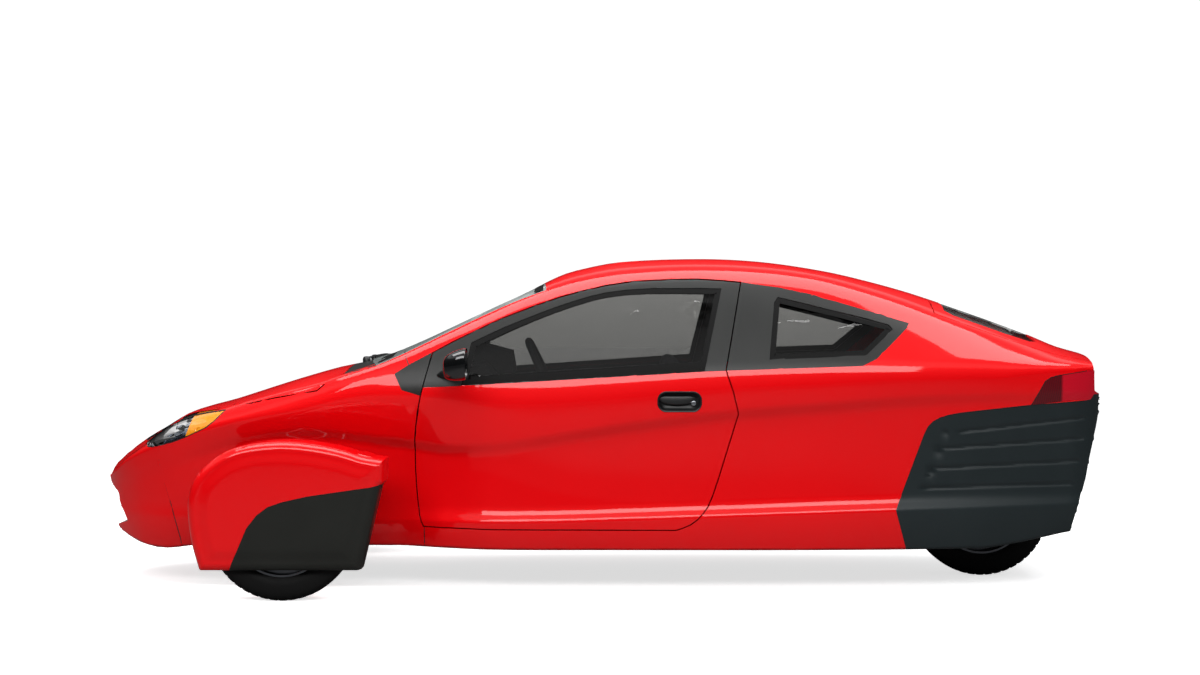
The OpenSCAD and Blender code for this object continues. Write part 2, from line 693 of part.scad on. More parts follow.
// ---- Wheels ----
bead_radius = rim_diameter / 2 - 8;
module tyre(x, y, width) {
    shoulder = width / 2;
    wall_high = axle_z;
    color(black) translate([x, y, axle_z]) rotate([90, 0, 0]) rotate_extrude($fn = 96)
        polygon([[bead_radius, -shoulder + 14], [rim_diameter / 2 + 12, -shoulder + 2],
            [wall_high - 50, -shoulder], [wall_high - 12, -shoulder + 8],
            [wall_high, -shoulder + 24], [wall_high, shoulder - 24],
            [wall_high - 12, shoulder - 8], [wall_high - 50, shoulder],
            [rim_diameter / 2 + 12, shoulder - 2], [bead_radius, shoulder - 14]]);
}
rim_wall = 8;
module rim(x, y, width, side, hub_radius, bore_to) {
    s = width / 2;
    color(metal) translate([x, y, axle_z]) rotate([side > 0 ? -90 : 90, 0, 0]) difference() {
        union() {
            rotate_extrude($fn = 96) polygon([[bead_radius - rim_wall, -s + 16],
                [bead_radius - fit, -s + 16], [bead_radius - fit, s - 16],
                [bead_radius - rim_wall, s - 16]]);
            translate([0, 0, 14]) cylinder(r = bead_radius - rim_wall + 1, h = 12, $fn = 96);
            translate([0, 0, -10]) cylinder(r = 48, h = 40);
        }
        translate([0, 0, -s]) cylinder(r = hub_radius + fit, h = s + bore_to);
        for (i = [0 : 7]) rotate([0, 0, i * 45 + 22.5])
            translate([118, 0, 0]) cylinder(r = 30, h = 60);
        for (i = [0 : 3]) rotate([0, 0, i * 90 + 45])
            translate([33, 0, -20]) cylinder(r = 6, h = 60);
    }
}
rear_axle_x = -1647 * kx;
arm_radius = 22;
rear_spindle = 12;
module swing_arm() {
    reach = rear_tyre_width / 2 + 38;
    pivot = [boot_front_x - 60, 0, 330 * kz];
    color(dark) {
        for (s = [1, -1]) {
            translate([0, s * reach + 15, 0]) rotate([90, 0, 0]) linear_extrude(30)
                polygon([[pivot[0], pivot[2] - arm_radius], [pivot[0], pivot[2] + arm_radius],
                    [rear_axle_x, axle_z + 26], [rear_axle_x, axle_z - 26]]);
            translate([rear_axle_x, s * reach + 22, axle_z]) rotate([90, 0, 0])
                cylinder(r = 34, h = 44);
        }
        translate([pivot[0], reach + 30, pivot[2]]) rotate([90, 0, 0])
            cylinder(r = arm_radius + 4, h = 2 * reach + 60);
        translate([rear_axle_x, reach, axle_z]) rotate([90, 0, 0])
            cylinder(r = rear_spindle, h = 2 * reach);
        for (s = [1, -1]) translate([pivot[0] - 14, s * (reach - 60) - 12, pivot[2] - 20])
            cube([boot_front_x - pivot[0] + 14 - fit, 24, 40]);
    }
}

// ---- Hinges ----
door_axis = [726 * kx, 501 * ky];
door_hinge_heights = [720 * kz, 764 * kz];
hinge_height = 24;
hinge_plate = 8;
pad_length = 24;
pocket_end = 12;
boss_radius = hinge_pin / 2 + 4;
// A swan-necked arm from the pin inwards, along the panel's inside and out into the panel
module swan_neck(length, drop, pad_top) {
    difference() {
        union() {
            cylinder(r = boss_radius, h = hinge_height);
            translate([-hinge_plate / 2, -drop, 0])
                cube([hinge_plate, drop - hinge_pin / 2 - 1, hinge_height]);
            translate([-length, -drop, 0])
                cube([length, hinge_plate, hinge_height]);
            hinge_pad(length, drop, pad_top, 0);
        }
        translate([0, 0, -1]) cylinder(r = hinge_pin / 2 + fit, h = hinge_height + 2);
    }
}
module hinge_pad(length, drop, pad_top, grow) {
    translate([-length - grow, -drop, -grow])
        cube([pad_length + 2 * grow, drop + pad_top + grow, hinge_height + 2 * grow]);
}
// The room each swan neck needs where it passes a fixed panel
module neck_pocket(drop) {
    translate([-60, -drop - 24, -pocket_end])
        cube([78, drop + 24 + boss_radius + 2, hinge_height + 2 * pocket_end]);
}
// [arm length, drop, how far the pad reaches out]
door_neck = [96, 52, 12];
bonnet_neck = [80, 60, -26];
hatch_neck = [62, 64, -34];
module at_door_hinges(side) {
    on_side(side) for (z = door_hinge_heights) translate([door_axis[0], door_axis[1], z])
        children();
}
module door_hinges(side) {
    color(dark) at_door_hinges(side) swan_neck(door_neck[0], door_neck[1], door_neck[2]);
}
module hinge_pockets(side) {
    at_door_hinges(side) neck_pocket(door_neck[1]);
}
bonnet_axis = [978 * kx, 886 * kz];
hatch_axis = [-1380 * kx, 1166 * kz];
lid_hinge_ys = [-160, 136];
module at_lid_hinges(axis) {
    for (y = lid_hinge_ys) translate([axis[0], y + hinge_height, axis[1]]) rotate([90, 0, 0])
        children();
}
module bonnet_hinges() {
    color(dark) at_lid_hinges(bonnet_axis) mirror([1, 0, 0])
        swan_neck(bonnet_neck[0], bonnet_neck[1], bonnet_neck[2]);
}
module hatch_hinges() {
    color(dark) at_lid_hinges(hatch_axis) swan_neck(hatch_neck[0], hatch_neck[1], hatch_neck[2]);
}
module bonnet_hinge_pockets() {
    at_lid_hinges(bonnet_axis) mirror([1, 0, 0]) neck_pocket(bonnet_neck[1]);
}
module hatch_hinge_pockets() {
    at_lid_hinges(hatch_axis) neck_pocket(hatch_neck[1]);
}
module hinge_pins() {
    beyond = pocket_end - 0.5;
    color(metal) {
        for (side = [1, -1]) at_door_hinges(side) translate([0, 0, -beyond])
            cylinder(r = hinge_pin / 2, h = hinge_height + 2 * beyond);
        for (axis = [bonnet_axis, hatch_axis]) at_lid_hinges(axis) translate([0, 0, -beyond])
            cylinder(r = hinge_pin / 2, h = hinge_height + 2 * beyond);
    }
}

// ---- Doors, bonnet and hatch ----
module bonnet_panel() {
    color(red) difference() {
        intersection() {
            strip(1000, 1800, -brow_at, brow_at);
            through_sides(bonnet_outline);
        }
        at_lid_hinges(bonnet_axis) mirror([1, 0, 0])
            hinge_pad(bonnet_neck[0], bonnet_neck[1], bonnet_neck[2], fit);
    }
}
module hatch_panel_space() {
    intersection() {
        tail_cup(-1200);
        through_top(hatch_outline, 0, hatch_bottom);
        through_sides(side_outline);
    }
}
module hatch_lid() {
    color(red) difference() {
        hatch_panel_space();
        through_top(rear_window_outline, seam / 2);
        at_lid_hinges(hatch_axis) hinge_pad(hatch_neck[0], hatch_neck[1], hatch_neck[2], fit);
    }
}
module hatch_window() {
    color(smoked) intersection() {
        strip(-1960, -1200, -pane_at, pane_at, 2, 2 + glass);
        through_top(rear_window_outline);
    }
}
handle_place = [-348 * kx, 763 * kz];
handle_size = [177, 83];
module handle_prism(grow) {
    translate([handle_place[0], far, handle_place[1]]) rotate([90, 0, 0]) linear_extrude(far)
        offset(r = 36 + grow) square([handle_size[0] - 72, handle_size[1] - 72], center = true);
}
// The door's front edge on the skin, from the top down: [ahead, left, up]
door_edge = [for (p = [[636, 477, 975], [642, 486, 953], [656, 509, 900], [669, 527, 850],
    [686, 536, 785], [697, 524, 722], [708, 502, 660], [711, 489, 620]])
    [p[0] * kx, p[1] * ky, p[2] * kz]];
// That edge is bevelled on its inner side, so that it swings clear of the wing
edge_bevel = 50;
module door_edge_bevel() {
    skin([for (p = door_edge) [p + [3, 3, 0], p - [edge_bevel, edge_bevel, 0],
        p + [edge_bevel, -edge_bevel, 0]]]);
}
module door_panel() {
    color(red) difference() {
        intersection() {
            strip(-650, 820, pane_at, floor_at);
            through_sides(door_outline);
        }
        door_edge_bevel();
        through_sides(door_waist, seam / 2);
        through_sides(front_trim, door_gap);
        handle_prism(seam);
        at_door_hinges(1) hinge_pad(door_neck[0], door_neck[1], door_neck[2], fit);
    }
}
module door_frame() {
    color(black) difference() {
        intersection() {
            strip(-650, 820, shoulder_at, brow_at, 0, wall - 8);
            through_sides(door_outline);
            through_sides(door_waist, -seam / 2);
        }
        door_edge_bevel();
        through_sides(door_window, seam / 2);
        through_top(roof_outline, door_gap);
        through_top(windscreen_outline, door_gap);
        mirror_stalk(fit);
    }
}
module door_glass() {
    color(smoked) intersection() {
        strip(-650, 580, shoulder_at, brow_at, 2, 2 + glass);
        through_sides(door_window);
    }
}
mirror_place = [540 * kx, 700 * ky, 918 * kz];
mirror_size = [60, 110, 127];
module door_fittings() {
    color(black) {
        intersection() {
            strip(-650, 0, belt_at, brow_at + 1, 0, wall - 10);
            handle_prism(0);
        }
        translate(mirror_place - [mirror_size[0] / 2, 0, 0]) rotate([90, 0, 90])
            linear_extrude(mirror_size[0]) offset(r = 28)
                square([mirror_size[1] - 56, mirror_size[2] - 56], center = true);
        mirror_stalk(0);
    }
}
module mirror_stalk(grow) {
    foot = [590 * kx, 514 * ky, 862 * kz];
    out = mirror_place - [0, 30, 20] - foot;
    bar(foot - grow * out / norm(out), foot + out, 12 + grow);
}

module door_panel_left() { door_panel(); }
module door_panel_right() { mirror([0, 1, 0]) door_panel(); }
module door_frame_left() { door_frame(); }
module door_frame_right() { mirror([0, 1, 0]) door_frame(); }
module door_glass_left() { door_glass(); }
module door_glass_right() { mirror([0, 1, 0]) door_glass(); }
module door_fittings_left() { door_fittings(); }
module door_fittings_right() { mirror([0, 1, 0]) door_fittings(); }
module door_hinges_left() { door_hinges(1); }
module door_hinges_right() { door_hinges(-1); }
module knuckle_left() { knuckle(1); }
module knuckle_right() { knuckle(-1); }
module fender_left() { fender(1); }
module fender_right() { fender(-1); }
module wheel_cover_left() { wheel_cover(1); }
module wheel_cover_right() { wheel_cover(-1); }
module tyre_left() { tyre(front_axle_x, track / 2, tyre_width); }
module tyre_right() { tyre(front_axle_x, -track / 2, tyre_width); }
module tyre_rear() { tyre(rear_axle_x, 0, rear_tyre_width); }
module rim_left() { rim(front_axle_x, track / 2, tyre_width, 1, spindle_radius, 22); }
module rim_right() { rim(front_axle_x, -track / 2, tyre_width, -1, spindle_radius, 22); }
module rim_rear() { rim(rear_axle_x, 0, rear_tyre_width, 1, rear_spindle, 40); }

body_sides();
front_wings();
roof_panel();
cowl_panel();
windscreen();
front_bumper();
grille();
headlights();
window_trims();
quarter_windows();
rear_bumper();
tail_lights();
floor_pan();
boot_floor();
bulkhead();
engine_block();
dashboard();
seat_bases();
driver_seat();
passenger_seat();
suspension_arms();
swing_arm();
rack_housing();
hinge_pins();
bonnet_panel();
bonnet_hinges();
hatch_lid();
hatch_window();
hatch_hinges();
door_panel_left();
door_frame_left();
door_glass_left();
door_fittings_left();
door_hinges_left();
door_panel_right();
door_frame_right();
door_glass_right();
door_fittings_right();
door_hinges_right();
knuckle_left();
fender_left();
wheel_cover_left();
knuckle_right();
fender_right();
wheel_cover_right();
tyre_left();
rim_left();
tyre_right();
rim_right();
tyre_rear();
rim_rear();
steering_wheel();
steering_rack();
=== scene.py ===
# %% [markdown]
# # A low three wheeled car
# Two wheels stand out in front under fenders that steer with them, and one wheel is at the back.
# The solids come from the CAD frame. This script gives them smooth skins, materials and the small
# pieces that the solids leave out, then lights and films them.

# %%
import json
import math
import bpy
import bmesh
import numpy as np
from mathutils import Matrix, Vector


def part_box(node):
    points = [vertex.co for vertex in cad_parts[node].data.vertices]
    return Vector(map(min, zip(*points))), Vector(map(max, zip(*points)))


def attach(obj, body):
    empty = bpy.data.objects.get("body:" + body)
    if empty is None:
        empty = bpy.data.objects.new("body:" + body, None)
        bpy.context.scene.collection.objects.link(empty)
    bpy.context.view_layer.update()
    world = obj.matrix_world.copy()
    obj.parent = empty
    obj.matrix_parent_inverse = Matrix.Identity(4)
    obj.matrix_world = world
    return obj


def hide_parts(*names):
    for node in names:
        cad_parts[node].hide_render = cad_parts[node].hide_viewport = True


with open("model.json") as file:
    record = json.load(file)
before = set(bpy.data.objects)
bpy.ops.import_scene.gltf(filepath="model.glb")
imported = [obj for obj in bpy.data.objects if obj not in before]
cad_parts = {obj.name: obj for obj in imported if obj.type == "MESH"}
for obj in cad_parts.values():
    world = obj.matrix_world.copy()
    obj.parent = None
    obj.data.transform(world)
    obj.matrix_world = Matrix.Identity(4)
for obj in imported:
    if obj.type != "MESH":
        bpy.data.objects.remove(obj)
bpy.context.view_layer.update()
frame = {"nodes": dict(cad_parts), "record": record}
nodes = frame["nodes"]

# %% [markdown]
# ## The body's lines
# The skin is drawn by long lines that run from nose to tail. Each one gives a height or a half width
# at any place along the car. Lengths here are in millimetres, ahead of the middle of the car.

# %%
LINES = {
    "crown_z": [(-2070, 936), (-2041, 948), (-1976, 966), (-1927, 982), (-1827, 1025), (-1656, 1089),
        (-1484, 1149), (-1313, 1205), (-1142, 1252), (-971, 1291), (-714, 1329), (-457, 1342),
        (-115, 1329), (56, 1297), (141, 1270), (312, 1186), (484, 1107), (740, 989), (925, 917),
        (1083, 882), (1254, 833), (1511, 751), (1682, 702), (1776, 649), (1879, 590), (1982, 516),
        (2033, 468), (2055, 430)],
    "rail_y": [(-2070, 380), (-1873, 400), (-1526, 392), (-1203, 383), (-875, 378), (-440, 375),
        (-58, 378), (188, 385), (361, 410), (571, 440), (760, 470), (873, 482), (1003, 472),
        (1114, 456), (1300, 425), (1500, 395), (1700, 335), (1850, 240), (1950, 160), (2010, 95),
        (2055, 30)],
    "rail_z": [(-2070, 915), (-1873, 945), (-1526, 1064), (-1203, 1185), (-875, 1272), (-440, 1300),
        (-58, 1275), (188, 1222), (361, 1158), (571, 1054), (760, 957), (873, 908), (1003, 866),
        (1114, 828), (1300, 782), (1500, 725), (1700, 668), (1850, 575), (1950, 510), (2010, 462),
        (2055, 424)],
    "belt_y": [(-2070, 468), (-2000, 472), (-1500, 540), (-1000, 575), (-500, 590), (0, 585),
        (400, 568), (700, 545), (900, 520), (1100, 495), (1300, 470), (1500, 445), (1700, 392),
        (1850, 300), (1950, 215), (2010, 135), (2055, 45)],
    "belt_z": [(-2070, 900), (-1993, 904), (-1729, 900), (-1076, 884), (-538, 862), (-191, 838),
        (131, 815), (773, 788), (1000, 765), (1200, 725), (1400, 690), (1600, 640), (1750, 592),
        (1860, 548), (1950, 498), (2010, 450), (2055, 418)],
    "brow_y": [(-2070, 460), (-1500, 533), (-1000, 568), (-500, 582), (0, 578), (389, 555), (600, 502),
        (700, 482), (900, 465), (1200, 460), (1500, 425), (1700, 380), (1860, 286), (1950, 205),
        (2010, 128), (2055, 42)],
    "brow_z": [(-2070, 795), (-1314, 782), (-905, 752), (-577, 728), (-191, 682), (200, 622),
        (389, 594), (600, 585), (800, 610), (1200, 645), (1500, 600), (1700, 530), (1860, 470),
        (1950, 435), (2010, 415), (2055, 400)],
    "tuck_y": [(-2070, 452), (-1500, 520), (-1000, 548), (-500, 560), (0, 556), (389, 540), (600, 470),
        (700, 446), (800, 430), (1200, 428), (1500, 410), (1700, 374), (1860, 282), (1950, 200),
        (2010, 124), (2055, 40)],
    "flare_y": [(-2070, 440), (-1500, 510), (-1000, 545), (-500, 560), (0, 560), (400, 550),
        (600, 486), (700, 450), (800, 430), (1200, 426), (1500, 404), (1700, 364), (1860, 278),
        (1950, 195), (2010, 120), (2055, 38)],
    "sill_y": [(-2070, 450), (-1500, 530), (-1000, 567), (-500, 582), (0, 582), (400, 572), (600, 508),
        (700, 462), (800, 434), (1200, 430), (1500, 407), (1700, 366), (1860, 279), (1950, 195),
        (2010, 120), (2055, 38)],
    "sill_z": [(-2070, 345), (-1219, 329), (-191, 297), (131, 287), (635, 279), (1000, 275),
        (1700, 280), (2055, 290)],
    "edge_z": [(-2070, 236), (-1932, 228), (-1829, 209), (-1681, 182), (-1564, 168), (0, 167),
        (1600, 165), (1766, 146), (1875, 160), (1963, 191), (2010, 215), (2055, 225)],
    "tail_round": [(-2070, 0.84), (-2055, 0.895), (-2030, 0.945), (-1990, 0.98), (-1930, 1), (2055, 1)],
}
TUCK, FLARE, EDGE, CAMBER = 38, 42, 12, 1.5


def line(name, x):
    """The value of one long line at x, by a smooth curve through its points."""
    k = np.array(LINES[name], float)
    i = np.clip(np.searchsorted(k[1:, 0], x), 0, len(k) - 2)
    lo, hi = np.maximum(i - 1, 0), np.minimum(i + 2, len(k) - 1)
    slope_a = (k[i + 1, 1] - k[lo, 1]) / (k[i + 1, 0] - k[lo, 0])
    slope_b = (k[hi, 1] - k[i, 1]) / (k[hi, 0] - k[i, 0])
    h = k[i + 1, 0] - k[i, 0]
    t = np.clip((x - k[i, 0]) / h, 0, 1)
    return ((2 * t**3 - 3 * t**2 + 1) * k[i, 1] + (t**3 - 2 * t**2 + t) * h * slope_a
            + (3 * t**2 - 2 * t**3) * k[i + 1, 1] + (t**3 - t**2) * h * slope_b)


def corners(x):
    """Corner points of half a section at each x, from the roof's middle to the floor's."""
    w = line("tail_round", x)
    v = {n: line(n, x) * (w if n.endswith("_y") else 1) for n in LINES}
    top, ry, rz, by, bz = v["crown_z"], v["rail_y"], v["rail_z"], v["belt_y"], v["belt_z"]
    zero = 0 * x
    points = [(zero, top), (0.52 * ry, top - CAMBER), (ry, rz),
              (0.62 * ry + 0.38 * by + 10, 0.62 * rz + 0.38 * bz), (by, bz),
              (v["brow_y"], v["brow_z"]), (v["tuck_y"], v["brow_z"] - TUCK),
              (v["flare_y"], v["sill_z"] + FLARE), (v["sill_y"], v["sill_z"]),
              (v["sill_y"] - EDGE, v["edge_z"] + CAMBER), (zero, v["edge_z"])]
    return np.stack([np.stack(p, -1) for p in points], 1)


ROUNDING = [0, 120, 70, 150, 75, 14, 16, 24, 8, 14, 0]
STEPS = [0, 4, 6, 4, 6, 3, 3, 3, 2, 2, 0]


def section(x):
    """The rounded half section at each x, as a row of points with outward normals."""
    c = corners(x)
    row = [c[:, 0]]
    for i in range(1, 10):
        a, c_, b = c[:, i - 1] - c[:, i], c[:, i + 1] - c[:, i], c[:, i]
        la, lc = np.linalg.norm(a, axis=1), np.linalg.norm(c_, axis=1)
        r = np.minimum(ROUNDING[i], np.minimum(0.48 * la, 0.48 * lc))
        p = b + a * (r / np.maximum(la, 1e-6))[:, None]
        q = b + c_ * (r / np.maximum(lc, 1e-6))[:, None]
        for t in np.linspace(0, 1, STEPS[i] + 1):
            row.append((1 - t) ** 2 * p + 2 * t * (1 - t) * b + t * t * q)
    row.append(c[:, 10])
    points = np.stack(row, 1)
    d = np.diff(points, axis=1)
    side = np.stack([-d[..., 1], d[..., 0]], -1)
    side /= np.maximum(np.linalg.norm(side, axis=2, keepdims=True), 1e-9)
    out = np.concatenate([side[:, :1], side[:, :-1] + side[:, 1:], side[:, -1:]], 1)
    out[:, 0], out[:, -1] = (0, 1), (0, -1)
    out /= np.maximum(np.linalg.norm(out, axis=2, keepdims=True), 1e-9)
    return points, out


def skin_depth(p):
    """For points in mm: height above the skin, and the skin's outward normal there in the section."""
    height, normal = np.zeros(len(p)), np.zeros((len(p), 2))
    for s in range(0, len(p), 4000):
        q = p[s:s + 4000]
        points, out = section(q[:, 0])
        yz = np.stack([np.abs(q[:, 1]), q[:, 2]], -1)[:, None]
        a, d = points[:, :-1], np.diff(points, axis=1)
        t = np.clip(((yz - a) * d).sum(2) / np.maximum((d * d).sum(2), 1e-9), 0, 1)
        gap = yz - (a + t[..., None] * d)
        j = np.argmin((gap * gap).sum(2), 1)
        r = np.arange(len(q))
        n = out[r, j] * (1 - t[r, j])[:, None] + out[r, j + 1] * t[r, j][:, None]
        n /= np.linalg.norm(n, axis=1)[:, None]
        g = gap[r, j]
        height[s:s + 4000] = np.sign((g * n).sum(1)) * np.linalg.norm(g, axis=1)
        normal[s:s + 4000] = n
    normal[:, 0] *= np.where(p[:, 1] < 0, -1, 1)
    return height, normal


def skin_normal(p):
    """Height above the skin and the full outward normal, for points in mm."""
    height, n = skin_depth(p)
    step = np.array([8.0, 0, 0])
    rise = (skin_depth(p + step)[0] - skin_depth(p - step)[0]) / 16
    full = np.concatenate([np.clip(rise, -3, 3)[:, None], n], 1)
    return height, full / np.linalg.norm(full, axis=1)[:, None]


test = np.array([[0, 585.0, 815], [-457, 0, 1342.0]])
print("skin heights at two known points:", np.round(skin_depth(test)[0], 1))

# %% [markdown]
# ## Materials
# `Graph` wraps a node tree so that shader maths can be written as plain Python expressions.

# %%
class Value:
    """A socket that can be added, multiplied and so on."""

    def __init__(self, graph, socket):
        self.graph, self.socket = graph, socket

    def math(self, op, *others, clamp=False):
        return self.graph.add("ShaderNodeMath", {"operation": op, "use_clamp": clamp}, self, *others)

    def __add__(self, o): return self.math("ADD", o)
    def __radd__(self, o): return self.math("ADD", o)
    def __sub__(self, o): return self.math("SUBTRACT", o)
    def __rsub__(self, o): return self.graph.add("ShaderNodeMath", {"operation": "SUBTRACT"}, o, self)
    def __mul__(self, o): return self.math("MULTIPLY", o)
    def __rmul__(self, o): return self.math("MULTIPLY", o)
    def __truediv__(self, o): return self.math("DIVIDE", o)
    def __rtruediv__(self, o): return self.graph.add("ShaderNodeMath", {"operation": "DIVIDE"}, o, self)
    def __gt__(self, o): return self.math("GREATER_THAN", o)
    def __lt__(self, o): return self.math("LESS_THAN", o)
    def clamp(self): return self.math("ADD", 0.0, clamp=True)


class Graph:
    def __init__(self, name):
        self.material = bpy.data.materials.new(name)
        self.material.use_nodes = True
        self.tree = self.material.node_tree
        self.tree.nodes.clear()
        self.output = self.tree.nodes.new("ShaderNodeOutputMaterial")

    def add(self, kind, settings=None, *inputs, out=0, **named):
        """Any node: its settings first, then its inputs, by place or by name."""
        node = self.tree.nodes.new(kind)
        for key, value in (settings or {}).items():
            setattr(node, key, value)
        pairs = [(node.inputs[i], v) for i, v in enumerate(inputs)]
        pairs += [(node.inputs[k.replace("_", " ")], v) for k, v in named.items()]
        for socket, value in pairs:
            if isinstance(value, Value):
                self.tree.links.new(value.socket, socket)
            else:
                socket.default_value = value
        return Value(self, node.outputs[out])

    def place(self, axis=None):
        """The point being shaded, in the object's own metres, or one coordinate of it."""
        point = self.add("ShaderNodeTexCoord", out=3)
        if axis is None:
            return point
        split = self.add("ShaderNodeSeparateXYZ", None, point, out="XYZ".index(axis))
        return split

    def noise(self, scale, detail=3.0, stretch=None):
        point = self.place()
        if stretch:
            point = self.add("ShaderNodeMapping", None, point, Scale=stretch)
        return self.add("ShaderNodeTexNoise", None, Vector=point, Scale=scale, Detail=detail)

    def mix(self, factor, a, b):
        """A colour between a and b."""
        node = self.tree.nodes.new("ShaderNodeMix")
        node.data_type = "RGBA"
        for socket, value in zip((node.inputs[0], node.inputs[6], node.inputs[7]), (factor, a, b)):
            if isinstance(value, Value):
                self.tree.links.new(value.socket, socket)
            else:
                socket.default_value = value
        return Value(self, node.outputs[2])

    def bump(self, height, strength, distance):
        return self.add("ShaderNodeBump", None, Strength=strength, Distance=distance, Height=height)

    def surface(self, shader):
        self.tree.links.new(shader.socket, self.output.inputs["Surface"])
        return self.material

    def principled(self, **values):
        return self.add("ShaderNodeBsdfPrincipled", None, **values)


def rgb(hexa, alpha=1.0):
    """A screen colour as linear light."""
    v = [int(hexa[i:i + 2], 16) / 255 for i in (0, 2, 4)]
    return tuple(c / 12.92 if c < 0.04045 else ((c + 0.055) / 1.055) ** 2.4 for c in v) + (alpha,)


def solid_material(name, base, other, scale, rough, spread=0.05, bump=0.0, size=0.001, stretch=None,
                   shine=0.5, **more):
    """A material whose colour and roughness vary softly over the surface."""
    g = Graph(name)
    n = g.noise(scale, stretch=stretch)
    values = dict(Base_Color=g.mix(n, base, other), Roughness=n * spread + (rough - spread / 2),
                  Specular_IOR_Level=shine)
    if bump:
        values["Normal"] = g.bump(n, bump, size)
    return g.surface(g.principled(**values, **more))


def paint_material():
    g = Graph("red_paint")
    n, fine = g.noise(2.5), g.noise(900.0, 1.0)
    base = g.mix(n, rgb("ec0008"), rgb("e20006"))
    return g.surface(g.principled(
        Base_Color=base, Roughness=fine * 0.05 + 0.45, Specular_IOR_Level=0.06, Coat_Weight=0.85,
        Coat_Roughness=0.05, Coat_IOR=1.45, Normal=g.bump(fine, 0.02, 0.0004)))


def glass_material(name, top, low, shine=0.03, haze=0.0):
    """A sheet of tinted glass that reflects at its faces; its tint is graded by height as painted shade,
    darker low down and lighter at the top.
    """
    g = Graph(name)
    # Painted shade: the tint and the milky layer both grade from darker low down to lighter at the top.
    up = ((g.place("Z") - 0.86) * 2.8 + g.noise(1.2, 1.0) * 0.1).clamp()
    through = g.add("ShaderNodeBsdfTransparent", None, g.mix(up, low, top))
    gloss = g.add("ShaderNodeBsdfGlossy", None, Color=(1, 1, 1, 1), Roughness=shine)
    front = 1 - g.add("ShaderNodeNewGeometry", out="Backfacing")
    edge = g.add("ShaderNodeFresnel", None, IOR=1.4) * front
    sheet = g.add("ShaderNodeMixShader", None, edge, through, gloss)
    if haze:
        milk = g.principled(Base_Color=g.mix(up, rgb("8d9492"), rgb("aeb5b3")), Roughness=0.25)
        sheet = g.add("ShaderNodeMixShader", None, haze, sheet, milk)
    return g.surface(sheet)


def brushed(name, colour, rough=0.3):
    return solid_material(name, rgb(colour), [c * 0.8 for c in rgb(colour)[:3]] + [1], 60.0, rough,
                          0.12, 0.1, 0.0005, (1, 1, 12), Metallic=1.0)


def fabric_material():
    g = Graph("seat_cloth")
    x, y, z = (g.place(a) for a in "XYZ")
    weave = (x * 1900).math("SINE") * (y * 1900 + z * 1900).math("SINE")
    n = g.noise(14.0)
    base = g.mix(n * 0.6 + weave * 0.2, rgb("2c2e33"), rgb("50535a"))
    return g.surface(g.principled(Base_Color=base, Roughness=n * 0.1 + 0.8,
                                  Normal=g.bump(weave, 0.4, 0.0006)))


def lens_material():
    """The headlight cover: clear, with its rear corner amber."""
    g = Graph("lamp_cover")
    x, z = g.place("X"), g.place("Z")
    behind = (x + (z - 0.694) * 0.32) < 1.632
    tint = g.mix(behind, rgb("eef2f8"), rgb("ff9a08"))
    through = g.add("ShaderNodeBsdfTransparent", None, tint)
    gloss = g.add("ShaderNodeBsdfGlossy", None, Color=(1, 1, 1, 1), Roughness=0.02)
    edge = g.add("ShaderNodeFresnel", None, IOR=1.5)
    clear = g.add("ShaderNodeMixShader", None, edge, through, gloss)
    amber = g.principled(Base_Color=g.mix(g.noise(90.0), rgb("ff9205"), rgb("ffb52a")), Roughness=0.15,
                         Coat_Weight=1.0, Coat_Roughness=0.02)
    return g.surface(g.add("ShaderNodeMixShader", None, behind * 0.82, clear, amber))


def tail_material():
    """Dark red ahead, brighter red behind, with fine ribs across."""
    g = Graph("tail_lamp")
    x, z = g.place("X"), g.place("Z")
    rear = ((x * -1 - 1.890) * 90).clamp()
    rib = ((x * 700 + z * 120).math("SINE") * 0.5 + 0.5) * 0.12
    base = g.mix((rear + rib).clamp(), rgb("4a0610"), rgb("c00520"))
    return g.surface(g.principled(Base_Color=base, Roughness=0.3, Coat_Weight=0.35, Coat_Roughness=0.03,
                                  Specular_IOR_Level=0.2, Emission_Color=base, Emission_Strength=0.08))


